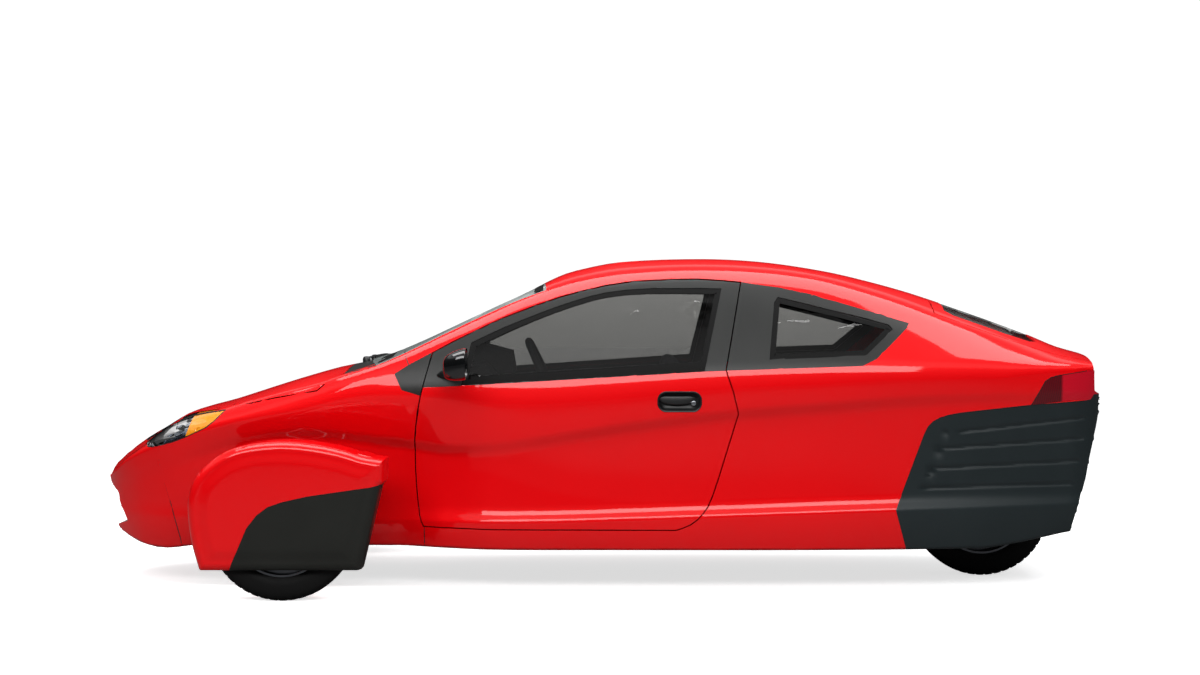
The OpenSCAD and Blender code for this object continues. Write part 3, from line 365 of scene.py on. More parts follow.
M = {
    "paint": paint_material(),
    "trim": solid_material("dark_trim", rgb("1c2426"), rgb("232b2d"), 5.0, 0.38, 0.08, 0.05, 0.0005,
                           shine=0.3),
    "cover": solid_material("wheel_cover", rgb("1c1d1a"), rgb("232421"), 5.0, 0.4, 0.08, 0.05, 0.0005,
                            shine=0.25),
    "window_trim": solid_material("window_trim", rgb("1e1f1e"), rgb("252625"), 6.0, 0.36, 0.06,
                                  shine=0.3),
    "seal": solid_material("window_seal", rgb("030303"), rgb("070707"), 40.0, 0.6, 0.1, shine=0.12),
    "black": solid_material("black_plastic", rgb("0f1011"), rgb("191a1b"), 30.0, 0.4, 0.1, 0.08, 0.0005),
    "gloss_black": solid_material("gloss_black", rgb("08090a"), rgb("121314"), 8.0, 0.12, 0.04,
                                  Coat_Weight=0.6, Coat_Roughness=0.03),
    "inside": solid_material("inside_plastic", rgb("1c1d1f"), rgb("27282b"), 40.0, 0.6, 0.1, 0.2, 0.001),
    "underbody": solid_material("underbody", rgb("101112"), rgb("1b1c1e"), 9.0, 0.6, 0.15, 0.1, 0.001),
    "rubber": solid_material("tyre_rubber", rgb("040404"), rgb("0b0b0b"), 25.0, 0.75, 0.12, 0.15, 0.001,
                             shine=0.25),
    "steel": brushed("steel", "a4a8ad"),
    # The wheel alloy is grey metal darkened to a mid-dark grey as painted shade, for rims that sit in
    # shadow.
    "alloy": brushed("shade_darkened_wheel_alloy", "6b6e73", 0.32),
    "cast": solid_material("cast_case", rgb("6d7073"), rgb("85888c"), 18.0, 0.55, 0.15, 0.25, 0.002,
                           Metallic=0.9),
    "mirror": solid_material("mirror_silver", rgb("e8eaec"), rgb("f2f4f6"), 2.0, 0.03, 0.01, Metallic=1.0),
    "cloth": fabric_material(),
    # Each glass is given a lighter top tint and a darker low tint, a painted shade gradient.
    "glass": glass_material("window_glass", rgb("d2d2d1"), rgb("c5c5c4")),
    "screen": glass_material("screen_glass", rgb("c6cbca"), rgb("b4b9b8"), haze=0.45),
    "lamp_silver": brushed("lamp_silver", "c9cdd2", 0.22),
    "lens": lens_material(),
    "tail": tail_material(),
}
print(len(M), "materials:", ", ".join(M))


def dress(obj, key):
    obj.data.materials.clear()
    obj.data.materials.append(M[key])


FINISH = {
    "trim": ["rear_bumper", "grille"], "cover": ["wheel_cover_left", "wheel_cover_right"],
    "window_trim": ["window_trims", "door_frame_left", "door_frame_right", "cowl_panel"],
    "inside": ["dashboard", "steering_wheel"],
    "underbody": ["floor_pan", "boot_floor", "bulkhead", "seat_bases", "swing_arm", "rack_housing",
                  "bonnet_hinges", "hatch_hinges", "door_hinges_left", "door_hinges_right"],
    "steel": ["suspension_arms", "hinge_pins", "knuckle_left", "knuckle_right", "steering_rack"],
    "alloy": ["rim_left", "rim_right", "rim_rear"],
    "rubber": ["tyre_left", "tyre_right", "tyre_rear"],
    "cast": ["engine_block"],
    "glass": ["windscreen", "quarter_windows", "hatch_window", "door_glass_left", "door_glass_right"],
    "cloth": ["driver_seat", "passenger_seat"],
    "lens": ["headlights"], "tail": ["tail_lights"],
    "gloss_black": ["door_fittings_left", "door_fittings_right"],
}
finish_of = {n: key for key, members in FINISH.items() for n in members}
for name, node in nodes.items():
    dress(node, finish_of.get(name, "paint"))

# %% [markdown]
# ## Smooth skins
# The CAD panels are built from flat facets. Each one gets a finer copy whose outer face lies on the
# smooth skin, with the skin's own normals, so that reflections run over it evenly.

# %%
BODY = {n: b for b, members in frame["record"]["behaviour"]["bodies"].items() for n in members}


def merged_copy(name):
    bm = bmesh.new()
    bm.from_mesh(nodes[name].data)
    bmesh.ops.remove_doubles(bm, verts=bm.verts, dist=1e-5)
    return bm


def slice_up(bm, axis, places):
    """Cuts every face that crosses one of the planes."""
    co, no = [0, 0, 0], [0, 0, 0]
    no[axis] = 1
    for v in places:
        co[axis] = v
        geometry = bm.verts[:] + bm.edges[:] + bm.faces[:]
        bmesh.ops.bisect_plane(bm, geom=geometry, dist=1e-6, plane_co=co, plane_no=no)


def groove(p, lines, width, depth):
    """Sinks shallow grooves along straight lines seen from the side. Returns depth and its slope."""
    sink, slope = np.zeros(len(p)), np.zeros((len(p), 2))
    for (x0, z0), (x1, z1) in lines:
        a, d = np.array([x0, z0]), np.array([x1 - x0, z1 - z0])
        q = p[:, [0, 2]] - a
        t = np.clip(q @ d / (d @ d), 0, 1)
        gap = q - t[:, None] * d
        r2 = (gap * gap).sum(1) / width**2
        e = depth * np.exp(-r2)
        sink += e
        slope += -2 * e[:, None] * gap / width**2
    return sink, slope


def to_mesh(name, bm, key, body):
    mesh = bpy.data.meshes.new(name)
    bm.to_mesh(mesh)
    bm.free()
    obj = bpy.data.objects.new(name, mesh)
    bpy.context.scene.collection.objects.link(obj)
    dress(obj, key)
    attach(obj, body)
    return obj


def set_normals(mesh, wanted, usable):
    """Gives the outer faces the wanted point normals and leaves the others flat."""
    mesh.shade_smooth()
    poly_n = np.array([p.normal for p in mesh.polygons])
    loops = np.zeros(len(mesh.loops), int)
    mesh.loops.foreach_get("vertex_index", loops)
    of_poly = np.repeat(np.arange(len(mesh.polygons)), [p.loop_total for p in mesh.polygons])
    n = poly_n[of_poly].copy()
    w = wanted[loops]
    take = usable[loops] & ((n * w).sum(1) > 0.55)
    n[take] = w[take]
    mesh.normals_split_custom_set(n.tolist())


def smooth_panel(name, key, outer=0.0, inner=None, thin=None, cell=(0.045, 0.035), grooves=None,
                 reach=11.0):
    """A smooth copy of one panel. outer is how deep its outer face lies, in mm."""
    bm = merged_copy(name)
    lo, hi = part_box(name)
    slice_up(bm, 0, np.arange(lo.x + cell[0] / 2, hi.x, cell[0]))
    slice_up(bm, 2, np.arange(lo.z + cell[1] / 2, hi.z, cell[1]))
    if hi.y - lo.y > 1.0 or abs(lo.y + hi.y) < 0.05:
        slice_up(bm, 1, np.arange(lo.y + 0.03, hi.y, 0.06))
    bmesh.ops.remove_doubles(bm, verts=bm.verts, dist=2e-5)
    p = np.array([v.co for v in bm.verts]) * 1000
    height, normal = skin_normal(p)
    out = np.abs(height + outer) < min(reach, 0.5 * (inner or 99) if inner else reach)
    move = np.where(out, -outer - height, 0.0)
    back = np.zeros(len(p), bool)
    if inner:
        back = np.abs(height + inner) < 3.0 if not thin else np.abs(height + inner) < 9
        move = np.where(back & ~out, -(thin or inner) - height, move)
    if grooves:
        sink, slope = groove(p, *grooves)
        move = np.where(out, move - sink, move)
        normal[:, [0, 2]] += np.where(out[:, None], slope, 0)
        normal /= np.linalg.norm(normal, axis=1)[:, None]
    p = p + normal * move[:, None]
    for v, co in zip(bm.verts, p / 1000):
        v.co = co
    bmesh.ops.dissolve_degenerate(bm, dist=1e-6, edges=bm.edges)
    piece = to_mesh(name + "_skin", bm, key, BODY[name])
    mesh = piece.data
    q = np.array([v.co for v in mesh.vertices]) * 1000
    height, normal = skin_normal(q)
    usable = np.abs(height + outer) < (3 if inner else reach)
    if grooves:
        sink, slope = groove(q, *grooves)
        usable = np.abs(height + sink) < 4
        normal[:, [0, 2]] += slope
        normal /= np.linalg.norm(normal, axis=1)[:, None]
    if inner:
        behind = np.abs(height + (thin or inner)) < 1.5
        normal[behind & ~usable] *= -1
        usable |= behind
    set_normals(mesh, normal, usable)
    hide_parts(name)
    return piece


GROOVES = [((-1480, 640), (-1990, 692)), ((-1398, 573), (-1984, 608)), ((-1364, 493), (-1963, 518)),
           ((-1335, 415), (-1940, 427)), ((-1335, 415), (-1420, 640))]
red_panels = ["body_sides", "front_wings", "roof_panel", "front_bumper", "bonnet_panel", "hatch_lid",
              "door_panel_left", "door_panel_right"]
skins = {n: smooth_panel(n, "paint") for n in red_panels}
skins["rear_bumper"] = smooth_panel("rear_bumper", "trim", cell=(0.03, 0.008),
                                    grooves=(GROOVES, 7.0, 5.0))
for n in ("window_trims", "door_frame_left", "door_frame_right", "cowl_panel"):
    skins[n] = smooth_panel(n, "window_trim")
skins["tail_lights"] = smooth_panel("tail_lights", "tail")
for n in ("windscreen", "quarter_windows", "hatch_window", "door_glass_left", "door_glass_right"):
    skins[n] = smooth_panel(n, "screen" if n == "windscreen" else "glass", outer=2, inner=8, reach=2.9)
skins["headlights"] = smooth_panel("headlights", "lens", outer=1, inner=29, thin=4, reach=5)
print("skins:", {n: len(o.data.polygons) for n, o in skins.items()})

# %% [markdown]
# ## Fenders and wheels
# A fender is a shell with a rounded outer edge. Its facets are cut finer and moved onto that round, and
# its side face is sunk a little inside the rolled rim. A wheel cover is the dark rear part of the same
# shell, so both are shaped by one function.

# %%
AXLE, FENDER_OUT, EDGE_R = (1203.0, 290.0), 850.0, 34.0
FENDER = [(311, 122), (343, 235), (357, 343), (354, 408), (333, 473), (284, 532), (203, 586), (100, 613),
          (-18, 621), (-137, 610), (-240, 589), (-321, 564), (-402, 551)]
FENDER_BACK = [(-399, 467), (-391, 454), (-315, 135), (-311, 122)]


def curve(points, steps):
    """A smooth curve through points, as an array."""
    p = np.array([points[0], *points, points[-1]], float)
    t = np.linspace(0, 1, steps, endpoint=False)[:, None]
    rows = []
    for i in range(1, len(p) - 2):
        a, b, c, d = p[i - 1:i + 3]
        rows.append(0.5 * (2 * b + (c - a) * t + (2 * a - 5 * b + 4 * c - d) * t**2
                           + (3 * b - a - 3 * c + d) * t**3))
    return np.concatenate([*rows, p[-2:-1]])


RIM_LINE = np.concatenate([curve(FENDER, 16), np.array(FENDER_BACK, float)])


def edge_distance(q):
    """Distance inside the fender's outline for points seen from the side, and the outward direction."""
    a, b = RIM_LINE, np.roll(RIM_LINE, -1, axis=0)
    d = b - a
    t = np.clip(((q[:, None] - a) * d).sum(2) / (d * d).sum(1), 0, 1)
    gap = q[:, None] - (a + t[..., None] * d)
    r2 = (gap * gap).sum(2)
    j, rows = np.argmin(r2, 1), np.arange(len(q))
    side = np.stack([d[:, 1], -d[:, 0]], 1)[j]
    side /= np.linalg.norm(side, axis=1)[:, None]
    side = np.where(((a[j] - RIM_LINE.mean(0)) * side).sum(1)[:, None] < 0, -side, side)
    g = gap[rows, j]
    return -(g * side).sum(1), side


def recess(a):
    """How deep the side face lies, by the distance inside the outline, and its slope."""
    t = np.clip((a - 36) / 50, 0, 1)
    return 6 * t * t * (3 - 2 * t), 6 * 6 * t * (1 - t) / 50


def fender_skin(name, key, side):
    bm = merged_copy(name)
    lo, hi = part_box(name)
    slice_up(bm, 0, np.arange(lo.x + 0.01, hi.x, 0.011))
    slice_up(bm, 2, np.arange(lo.z + 0.01, hi.z, 0.011))
    slice_up(bm, 1, [side * (FENDER_OUT - d) / 1000 for d in (2, 8, 20, 27)])
    bmesh.ops.remove_doubles(bm, verts=bm.verts, dist=2e-5)

    def shape(p):
        a, out = edge_distance(p[:, [0, 2]] - [AXLE[0], 0])
        depth = FENDER_OUT - np.abs(p[:, 1])
        ra, rd = EDGE_R - a, EDGE_R - depth
        return a, depth, out, ra, rd, np.hypot(ra, rd)

    p = np.array([v.co for v in bm.verts]) * 1000
    a, depth, out, ra, rd, r = shape(p)
    corner = (ra > 0) & (rd > 0) & (np.abs(r - EDGE_R) < 4.5)
    push = np.where(corner, EDGE_R / np.maximum(r, 1), 1)
    new_a, new_d = EDGE_R - ra * push, EDGE_R - rd * push
    sunk = (depth < 12) & (a >= EDGE_R)
    new_d = np.where(sunk, depth + recess(a)[0], new_d)
    wall_face = (rd <= 0) & (np.abs(a) < 5)
    new_a = np.where(wall_face, 0, new_a)
    shift = a - new_a
    p[:, 0] += out[:, 0] * shift
    p[:, 2] += out[:, 1] * shift
    p[:, 2] = np.maximum(p[:, 2], 122)
    p[:, 1] = side * (FENDER_OUT - new_d)
    for v, co in zip(bm.verts, p / 1000):
        v.co = co
    bmesh.ops.dissolve_degenerate(bm, dist=1e-6, edges=bm.edges)
    piece = to_mesh(name + "_skin", bm, key, BODY[name])
    q = np.array([v.co for v in piece.data.vertices]) * 1000
    a, depth, out, ra, rd, r = shape(q)
    slope = recess(a)[1]
    around = np.where((ra > 0) & (rd > 0), ra / np.maximum(r, 1e-3), np.where(ra > 0, 1.0, slope))
    flat = np.where((ra > 0) & (rd > 0), rd / np.maximum(r, 1e-3), np.where(rd > 0, 1.0, 0.0))
    normal = np.stack([out[:, 0] * around, side * flat, out[:, 1] * around], 1)
    normal /= np.maximum(np.linalg.norm(normal, axis=1), 1e-6)[:, None]
    usable = ((ra > 0) & (rd > 0) & (np.abs(r - EDGE_R) < 2)) | ((a >= EDGE_R) & (depth < 7.9 + slope))
    usable |= (rd <= 0) & (np.abs(a) < 1)
    set_normals(piece.data, normal, usable)
    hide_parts(name)
    return piece


for side, word in ((1, "left"), (-1, "right")):
    fender_skin(f"fender_{word}", "paint", side)
    fender_skin(f"wheel_cover_{word}", "cover", side)
print("fenders and covers smoothed")

# %% [markdown]
# A tyre is one grid of points bent round the axle. Its height falls in four grooves that run round
# the tread and in slanted cuts across the two shoulders.

# %%
TYRE_R, BEAD_R, RIM_R = 290.0, 197.0, 205.0


def tyre(name, centre, width, body):
    half, turns = width / 2, 288
    side = [(half - 14, BEAD_R), (half - 4, RIM_R + 3), (half - 1, RIM_R + 12), (half, RIM_R + 20),
            (half + 0.0, RIM_R + 24), (half - 1, 240), (half - 2, 252), (half - 5, 266),
            (half - 9, 276), (half - 14, 282.5), (half - 19, 286)]
    tread = np.linspace(half - 24, -(half - 24), int(width / 3.2))
    crown = TYRE_R - 2.5 * (tread / half) ** 2
    y = np.array([s[0] for s in side] + list(tread) + [-s[0] for s in reversed(side)])
    r = np.array([s[1] for s in side] + list(crown) + [s[1] for s in reversed(side)])
    angle = np.linspace(0, 2 * np.pi, turns, endpoint=False)
    yy, aa = np.meshgrid(y, angle)
    rr = np.tile(r, (turns, 1))
    on_tread = np.abs(yy) <= half - 23
    for g in (-0.42, -0.14, 0.14, 0.42):
        rr -= np.where(on_tread & (np.abs(yy - g * width) < 3.4), 6.0, 0)
    cut = np.sin(aa * 48 + np.abs(yy) * 0.09) > 0.72
    rr -= np.where(cut & (np.abs(yy) > 0.2 * width) & (rr > 280), 4.5, 0)
    points = np.stack([rr * np.sin(aa), yy, rr * np.cos(aa)], -1) / 1000 + np.array(centre)
    n = len(y)
    faces = [(i * n + j, i * n + j + 1, (i + 1) % turns * n + j + 1, (i + 1) % turns * n + j)
             for i in range(turns) for j in range(n - 1)]
    faces += [(i * n + n - 1, i * n, (i + 1) % turns * n, (i + 1) % turns * n + n - 1)
              for i in range(turns)]
    mesh = bpy.data.meshes.new(name)
    mesh.from_pydata(points.reshape(-1, 3).tolist(), [], faces)
    bm = bmesh.new()
    bm.from_mesh(mesh)
    bmesh.ops.recalc_face_normals(bm, faces=bm.faces)
    piece = to_mesh(name + "_tread", bm, "rubber", body)
    piece.data.shade_smooth()
    sharp_by_angle(piece.data, 38)
    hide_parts(name)
    return len(faces)


def sharp_by_angle(mesh, degrees):
    bm = bmesh.new()
    bm.from_mesh(mesh)
    for e in bm.edges:
        e.smooth = len(e.link_faces) < 2 or e.calc_face_angle(0) < math.radians(degrees)
    bm.to_mesh(mesh)
    bm.free()


count = [tyre("tyre_left", (1.203, 0.735, 0.29), 140, "wheel_left"),
         tyre("tyre_right", (1.203, -0.735, 0.29), 140, "wheel_right"),
         tyre("tyre_rear", (-1.647, 0, 0.29), 180, "wheel_rear")]
print("tyre faces:", count)

# %% [markdown]
# ## Mirrors and door handles
# A mirror is a rounded housing whose nose is drawn forwards, with a glass at the back. A handle is a
# sunk oval in the door with a bar across it and a keyhole.

# %%
def skin_y(x, z, depth=0.0):
    """How far out the skin lies at x and z, on the left."""
    x, z = np.broadcast_arrays(np.asarray(x, float), np.asarray(z, float))
    p = np.stack([x.ravel(), np.full(x.size, 600.0), z.ravel()], 1)
    for _ in range(12):
        h, n = skin_depth(p)
        p[:, 1] -= (h + depth) / np.maximum(n[:, 0], 0.25)
    return p[:, 1].reshape(x.shape)


def skin_z(x, y, lift=0.0):
    """How high the skin lies at x and y, on top."""
    x, y = np.broadcast_arrays(np.asarray(x, float), np.asarray(y, float))
    p = np.stack([x.ravel(), y.ravel(), np.full(x.size, 1300.0)], 1)
    for _ in range(14):
        h, n = skin_depth(p)
        p[:, 2] -= (h - lift) / np.maximum(n[:, 1], 0.25)
    return p[:, 2].reshape(x.shape)


def grid_mesh(name, points, key, body, closed=False, caps=False, smooth=60):
    """A sheet through rows of points in metres. closed joins the ends of each row."""
    rows, n = points.shape[:2]
    bm = bmesh.new()
    v = [[bm.verts.new(p) for p in row] for row in points]
    for i in range(rows - 1):
        for j in range(n if closed else n - 1):
            k = (j + 1) % n
            bm.faces.new((v[i][j], v[i][k], v[i + 1][k], v[i + 1][j]))
    if caps:
        bm.faces.new(list(reversed(v[0])))
        bm.faces.new(v[-1])
    bmesh.ops.remove_doubles(bm, verts=bm.verts, dist=1e-5)
    bmesh.ops.recalc_face_normals(bm, faces=bm.faces)
    piece = to_mesh(name, bm, key, body)
    piece.data.shade_smooth()
    sharp_by_angle(piece.data, smooth)
    return piece


def mirror(side, word):
    turn = np.linspace(0, 2 * np.pi, 48, endpoint=False)
    cx, cy, cz = 0.536, side * 0.705, 0.918
    half_y, half_z = 0.078, 0.0625

    def shape(s, lift=0.0):
        y = s * half_y * np.sign(np.cos(turn)) * np.abs(np.cos(turn)) ** 0.62
        z = s * half_z * np.sign(np.sin(turn)) * np.abs(np.sin(turn)) ** 0.62 + lift
        return np.stack([np.zeros(48), y, z], 1)

    rows = []
    for u in np.linspace(0, 1, 14):
        a = u * math.pi / 2
        ring_ = shape(max(math.cos(a) ** 0.55, 0.02), -0.016 * math.sin(a))
        ring_[:, 0] = -0.040 + 0.088 * math.sin(a)
        rows.append(ring_)
    inner = [shape(0.965), shape(0.93), shape(0.93)]
    for ring_, x in zip(inner, (-0.043, -0.041, -0.034)):
        ring_[:, 0] = x
    body = f"door_{word}"
    points = np.array(list(reversed(inner)) + rows) + [cx, cy, cz]
    shell = grid_mesh(f"mirror_shell_{word}", points, "gloss_black", body, True, True)
    glass = [shape(0.92), shape(0.9)]
    for ring_, x in zip(glass, (-0.036, -0.0375)):
        ring_[:, 0] = x
    grid_mesh(f"mirror_glass_{word}", np.array(glass) + [cx, cy, cz], "mirror", body,
              True, True, 20)
    foot, tip = np.array([0.600, side * 0.512, 0.862]), np.array([0.553, side * 0.655, 0.885])
    arm = []
    for t in np.linspace(0, 1, 9):
        mid = foot + (tip - foot) * t + np.array([0, 0, 0.006 * math.sin(t * math.pi)])
        w, h = 0.030 - 0.010 * t, 0.014 + 0.004 * t
        arm.append(mid + np.stack([w * np.cos(turn), np.zeros(48), h * np.sin(turn)], 1))
    grid_mesh(f"mirror_arm_{word}", np.array(arm), "gloss_black", body, True, True)
    return shell


def oval(count, half_x, half_z, r=None):
    """A round-cornered box of points. With no radius its ends are half circles."""
    t = (np.arange(count) + 0.5) * 2 * np.pi / count
    r = min(half_x, half_z) if r is None else min(r, half_x, half_z)
    return np.stack([(half_x - r) * np.sign(np.cos(t)) + r * np.cos(t),
                     (half_z - r) * np.sign(np.sin(t)) + r * np.sin(t)], 1)


def handle(side, word):
    body, cx, cz = f"door_{word}", -348.0, 763.0
    rows = []
    for s, depth in ((1.0, 4.0), (1.0, -0.6), (0.97, -1.8), (0.90, -1.2), (0.86, 1.0), (0.80, 6.0),
                     (0.68, 12.0), (0.48, 15.5), (0.25, 17.0), (0.02, 17.3)):
        o = oval(64, 47 + 41.5 * s, 41.5 * s, 36 * s)
        x, z = cx + o[:, 0], cz + o[:, 1]
        rows.append(np.stack([x, side * skin_y(x, z, depth), z], 1))
    bowl = grid_mesh(f"handle_bowl_{word}", np.array(rows) / 1000, "black", body, True,
                     False, 50)
    bar = []
    for u in np.linspace(-1, 1, 17):
        x = cx + 8 + 74 * u
        h = 15.5 * (1 - abs(u) ** 3) ** 0.5 + 1.2
        o = oval(20, 6.5 * (1 - abs(u) ** 6) + 1.0, h)
        z = cz + 11 - 6 * (1 - u * u) + o[:, 1]
        y = skin_y(np.full(20, x), np.full(20, cz), 3.0 + 3 * u * u) + o[:, 0]
        bar.append(np.stack([np.full(20, x), side * y, z], 1))
    grid_mesh(f"handle_bar_{word}", np.array(bar) / 1000, "black", body, True, True, 50)
    turn = np.linspace(0, 2 * np.pi, 24, endpoint=False)
    lock = []
    y0 = float(skin_y(-404.0, 757.0))
    for r, d in ((9.5, 8), (9.5, -1.0), (8.0, -1.8), (5.0, -1.8), (4.4, -0.8), (0.1, -0.8)):
        lock.append(np.stack([-404 + r * np.cos(turn), np.full(24, side * (y0 - d)),
                              757 + r * np.sin(turn)], 1))
    grid_mesh(f"keyhole_{word}", np.array(lock) / 1000, "steel", body, True, False, 30)
    return bowl


for side, word in ((1, "left"), (-1, "right")):
    shell = mirror(side, word)
    handle(side, word)
    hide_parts(f"door_fittings_{word}")
print("mirrors and handles made")

# %% [markdown]
# ## Seams, seals and lamps
# A ribbon is a narrow strip that lies on the skin. Ribbons make the dark joints between fixed panels
# and the black seals round the window glass.

# %%
def ribbon(name, points, width, key, body, depth=-0.5, closed=False, both=True, step=14.0):
    """A strip along a line seen from the side, in mm, on one side or both."""
    p = np.array(points, float)
    if closed:
        p = np.concatenate([p, p[:1]])
    length = np.concatenate([[0], np.cumsum(np.linalg.norm(np.diff(p, axis=0), axis=1))])
    at = np.unique(np.concatenate([np.arange(0, length[-1], step), length]))
    q = np.stack([np.interp(at, length, p[:, k]) for k in (0, 1)], 1)
    if closed:
        q = q[:-1]
        before, after = np.roll(q, 1, axis=0), np.roll(q, -1, axis=0)
    else:
        before, after = q[np.maximum(np.arange(len(q)) - 1, 0)], q[np.minimum(np.arange(len(q)) + 1,
                                                                              len(q) - 1)]
    a, b = q - before, after - q
    na = np.stack([-a[:, 1], a[:, 0]], 1) / np.maximum(np.linalg.norm(a, axis=1), 1e-6)[:, None]
    nb = np.stack([-b[:, 1], b[:, 0]], 1) / np.maximum(np.linalg.norm(b, axis=1), 1e-6)[:, None]
    if not closed:
        na[0], nb[-1] = nb[0], na[-1]
    out = (na + nb) / (1 + (na * nb).sum(1))[:, None].clip(0.35)
    rows = []
    for s, d in ((-0.5, depth + 1.2), (-0.5, depth), (-0.17, depth), (0.17, depth), (0.5, depth),
                 (0.5, depth + 1.2)):
        w = q + out * width * s
        rows.append(np.stack([w[:, 0], skin_y(w[:, 0], w[:, 1], d), w[:, 1]], 1) / 1000)
    for side, word in ((1, "left"), (-1, "right")) if both else ((1, "left"),):
        flip = np.array(rows) * [1, side, 1]
        target = body.replace("SIDE", word)
        grid_mesh(f"{name}_{word}", flip, key, target, closed)


def turned(v):
    """Unit vectors at right angles to the rows of v."""
    return np.stack([-v[:, 1], v[:, 0]], 1) / np.linalg.norm(v, axis=1)[:, None]


def inset(points, d):
    """A closed outline moved inwards by d."""
    p = np.array(points, float)
    area = 0.5 * np.sum(p[:, 0] * np.roll(p[:, 1], -1) - np.roll(p[:, 0], -1) * p[:, 1])
    before, after = p - np.roll(p, 1, axis=0), np.roll(p, -1, axis=0) - p
    a, b = turned(before), turned(after)
    return p + np.sign(area) * d * (a + b) / (1 + (a * b).sum(1))[:, None]


DOOR_WINDOW = [*curve([(488, 996), (350, 1060), (203, 1120), (70, 1166), (-57, 1199), (-244, 1216),
                       (-524, 1214)], 2), (-448, 883), (526, 826)]
REAR_WINDOW = [(-736, 1158), (-752, 1179), (-983, 1123), (-1197, 1068), (-1213, 1049), (-1104, 952),
               (-1090, 944), (-708, 930)]
ribbon("door_seal", inset(DOOR_WINDOW, 11), 22, "seal", "door_SIDE", 1.4, True)
ribbon("waist_seal", [(486, 842), (-436, 903)], 40, "seal", "door_SIDE", 0.9)
ribbon("rear_seal", inset(REAR_WINDOW, 11), 22, "seal", "body", 1.4, True)
ribbon("sill_joint", [(679, 172), (679, 250)], 3.6, "black", "body", -0.25)
ribbon("nose_joint", [(1703, 676), (1703, 640)], 3.6, "black", "body", -0.25)
ribbon("lower_nose_joint", [(1781, 560), (1782, 502), (1751, 408), (1714, 286), (1686, 189), (1684, 172)],
       3.6, "black", "body", -0.25)
ribbon("pillar_joint", [(739, 906), (762, 962)], 3.6, "black", "body", -0.25)
ribbon("tail_joint", [(-1257, 172), (-1215, 327), (-1233, 370), (-1331, 630), (-1346, 660), (-1367, 681),
                      (-1395, 696), (-1432, 707), (-1480, 715), (-1542, 722), (-1760, 744),
                      (-1990, 760)], 3.0, "black", "body", -0.25)
ribbon("lamp_line", [(-1768, 744), (-1824, 841), (-1847, 856), (-1878, 864), (-2000, 882)], 3.0, "black",
       "body", -0.25)
LAMP = [(1860, 563), (1810, 605), (1753, 639), (1681, 677), (1638, 694), (1586, 706), (1494, 721),
        (1537, 677), (1571, 650), (1609, 632), (1644, 616), (1695, 596), (1753, 576), (1810, 563)]
ribbon("headlight_seal", LAMP, 4.0, "black", "body", -0.2, True)


def screen_band(name, xs, half):
    """A dark printed band across the windscreen."""
    y = np.linspace(-half, half, 60)
    rows = np.array([np.stack([np.full(60, x), y, skin_z(x, y, -1.2)], 1) for x in xs])
    grid_mesh(name, rows / 1000, "seal", "body")


screen_band("screen_top_band", (203, 212, 221, 230, 239), 366)
screen_band("screen_foot_band", (810, 832, 854, 872), 440)
print("ribbons laid")


def lamp_unit(side, word):
    """What stands behind a headlight cover: a ribbed tray in lamp silver and two bright bowls."""
    x = np.linspace(1500, 1855, 44)
    top = np.interp(x, [1494, 1586, 1638, 1681, 1753, 1810, 1860], [719, 703, 691, 674, 636, 602, 565])
    low = np.interp(x, [1494, 1537, 1571, 1609, 1644, 1695, 1753, 1810, 1860],
                    [717, 679, 653, 635, 619, 599, 579, 566, 561])
    rows = []
    for t in np.linspace(0, 1, 16):
        z = low + (top - low) * t
        rib = 3.0 * np.sin(x / 9.0) * np.sin(t * np.pi)
        rows.append(np.stack([x, side * skin_y(x, z, 22 + rib * 0.35), z], 1) / 1000)
    grid_mesh(f"lamp_tray_{word}", np.array(rows), "lamp_silver", "body")
    turn = np.linspace(0, 2 * np.pi, 40, endpoint=False)
    for k, (cx, cz, r) in enumerate(((1712, 634, 24), (1775, 598, 17))):
        cy = float(skin_y(float(cx), float(cz), 20))
        aim = np.array([0.72, 0.62 * side, 0.32])
        aim /= np.linalg.norm(aim)
        u = np.cross(aim, [0, 0, 1.0])
        u /= np.linalg.norm(u)
        v = np.cross(u, aim)
        rings = []
        for s, d in ((1.0, -2), (1.06, 8), (1.0, 9), (0.93, 7), (0.75, -4), (0.5, -11), (0.3, -13),
                     (0.28, -4), (0.15, 1), (0.01, 2)):
            rings.append([np.array([cx, side * cy, cz]) + r * s * (math.cos(t) * u + math.sin(t) * v)
                          + aim * d * r / 24 for t in turn])
        grid_mesh(f"lamp_bowl_{k}_{word}", np.array(rings) / 1000, "mirror", "body", True,
                  False, 40)


for side, word in ((1, "left"), (-1, "right")):
    lamp_unit(side, word)
print("lamps filled")

# %% [markdown]
# ## Wipers and steering wheel

# %%
def tube(name, path, radii, key, body, count=16, up=(0, 0, 1.0)):
    """A closed round or flat bar along a path in metres. radii is (across, up) at each point."""
    p = np.array(path, float)
    along = np.gradient(p, axis=0)
    along /= np.linalg.norm(along, axis=1)[:, None]
    across = np.cross(along, up)
    across /= np.maximum(np.linalg.norm(across, axis=1), 1e-6)[:, None]
    lift = np.cross(across, along)
    t = np.linspace(0, 2 * np.pi, count, endpoint=False)
    rows = [p[i] + radii[i][0] * np.cos(t)[:, None] * across[i] + radii[i][1] * np.sin(t)[:, None] * lift[i]
            for i in range(len(p))]
    return grid_mesh(name, np.array(rows), key, body, True, True, 50)


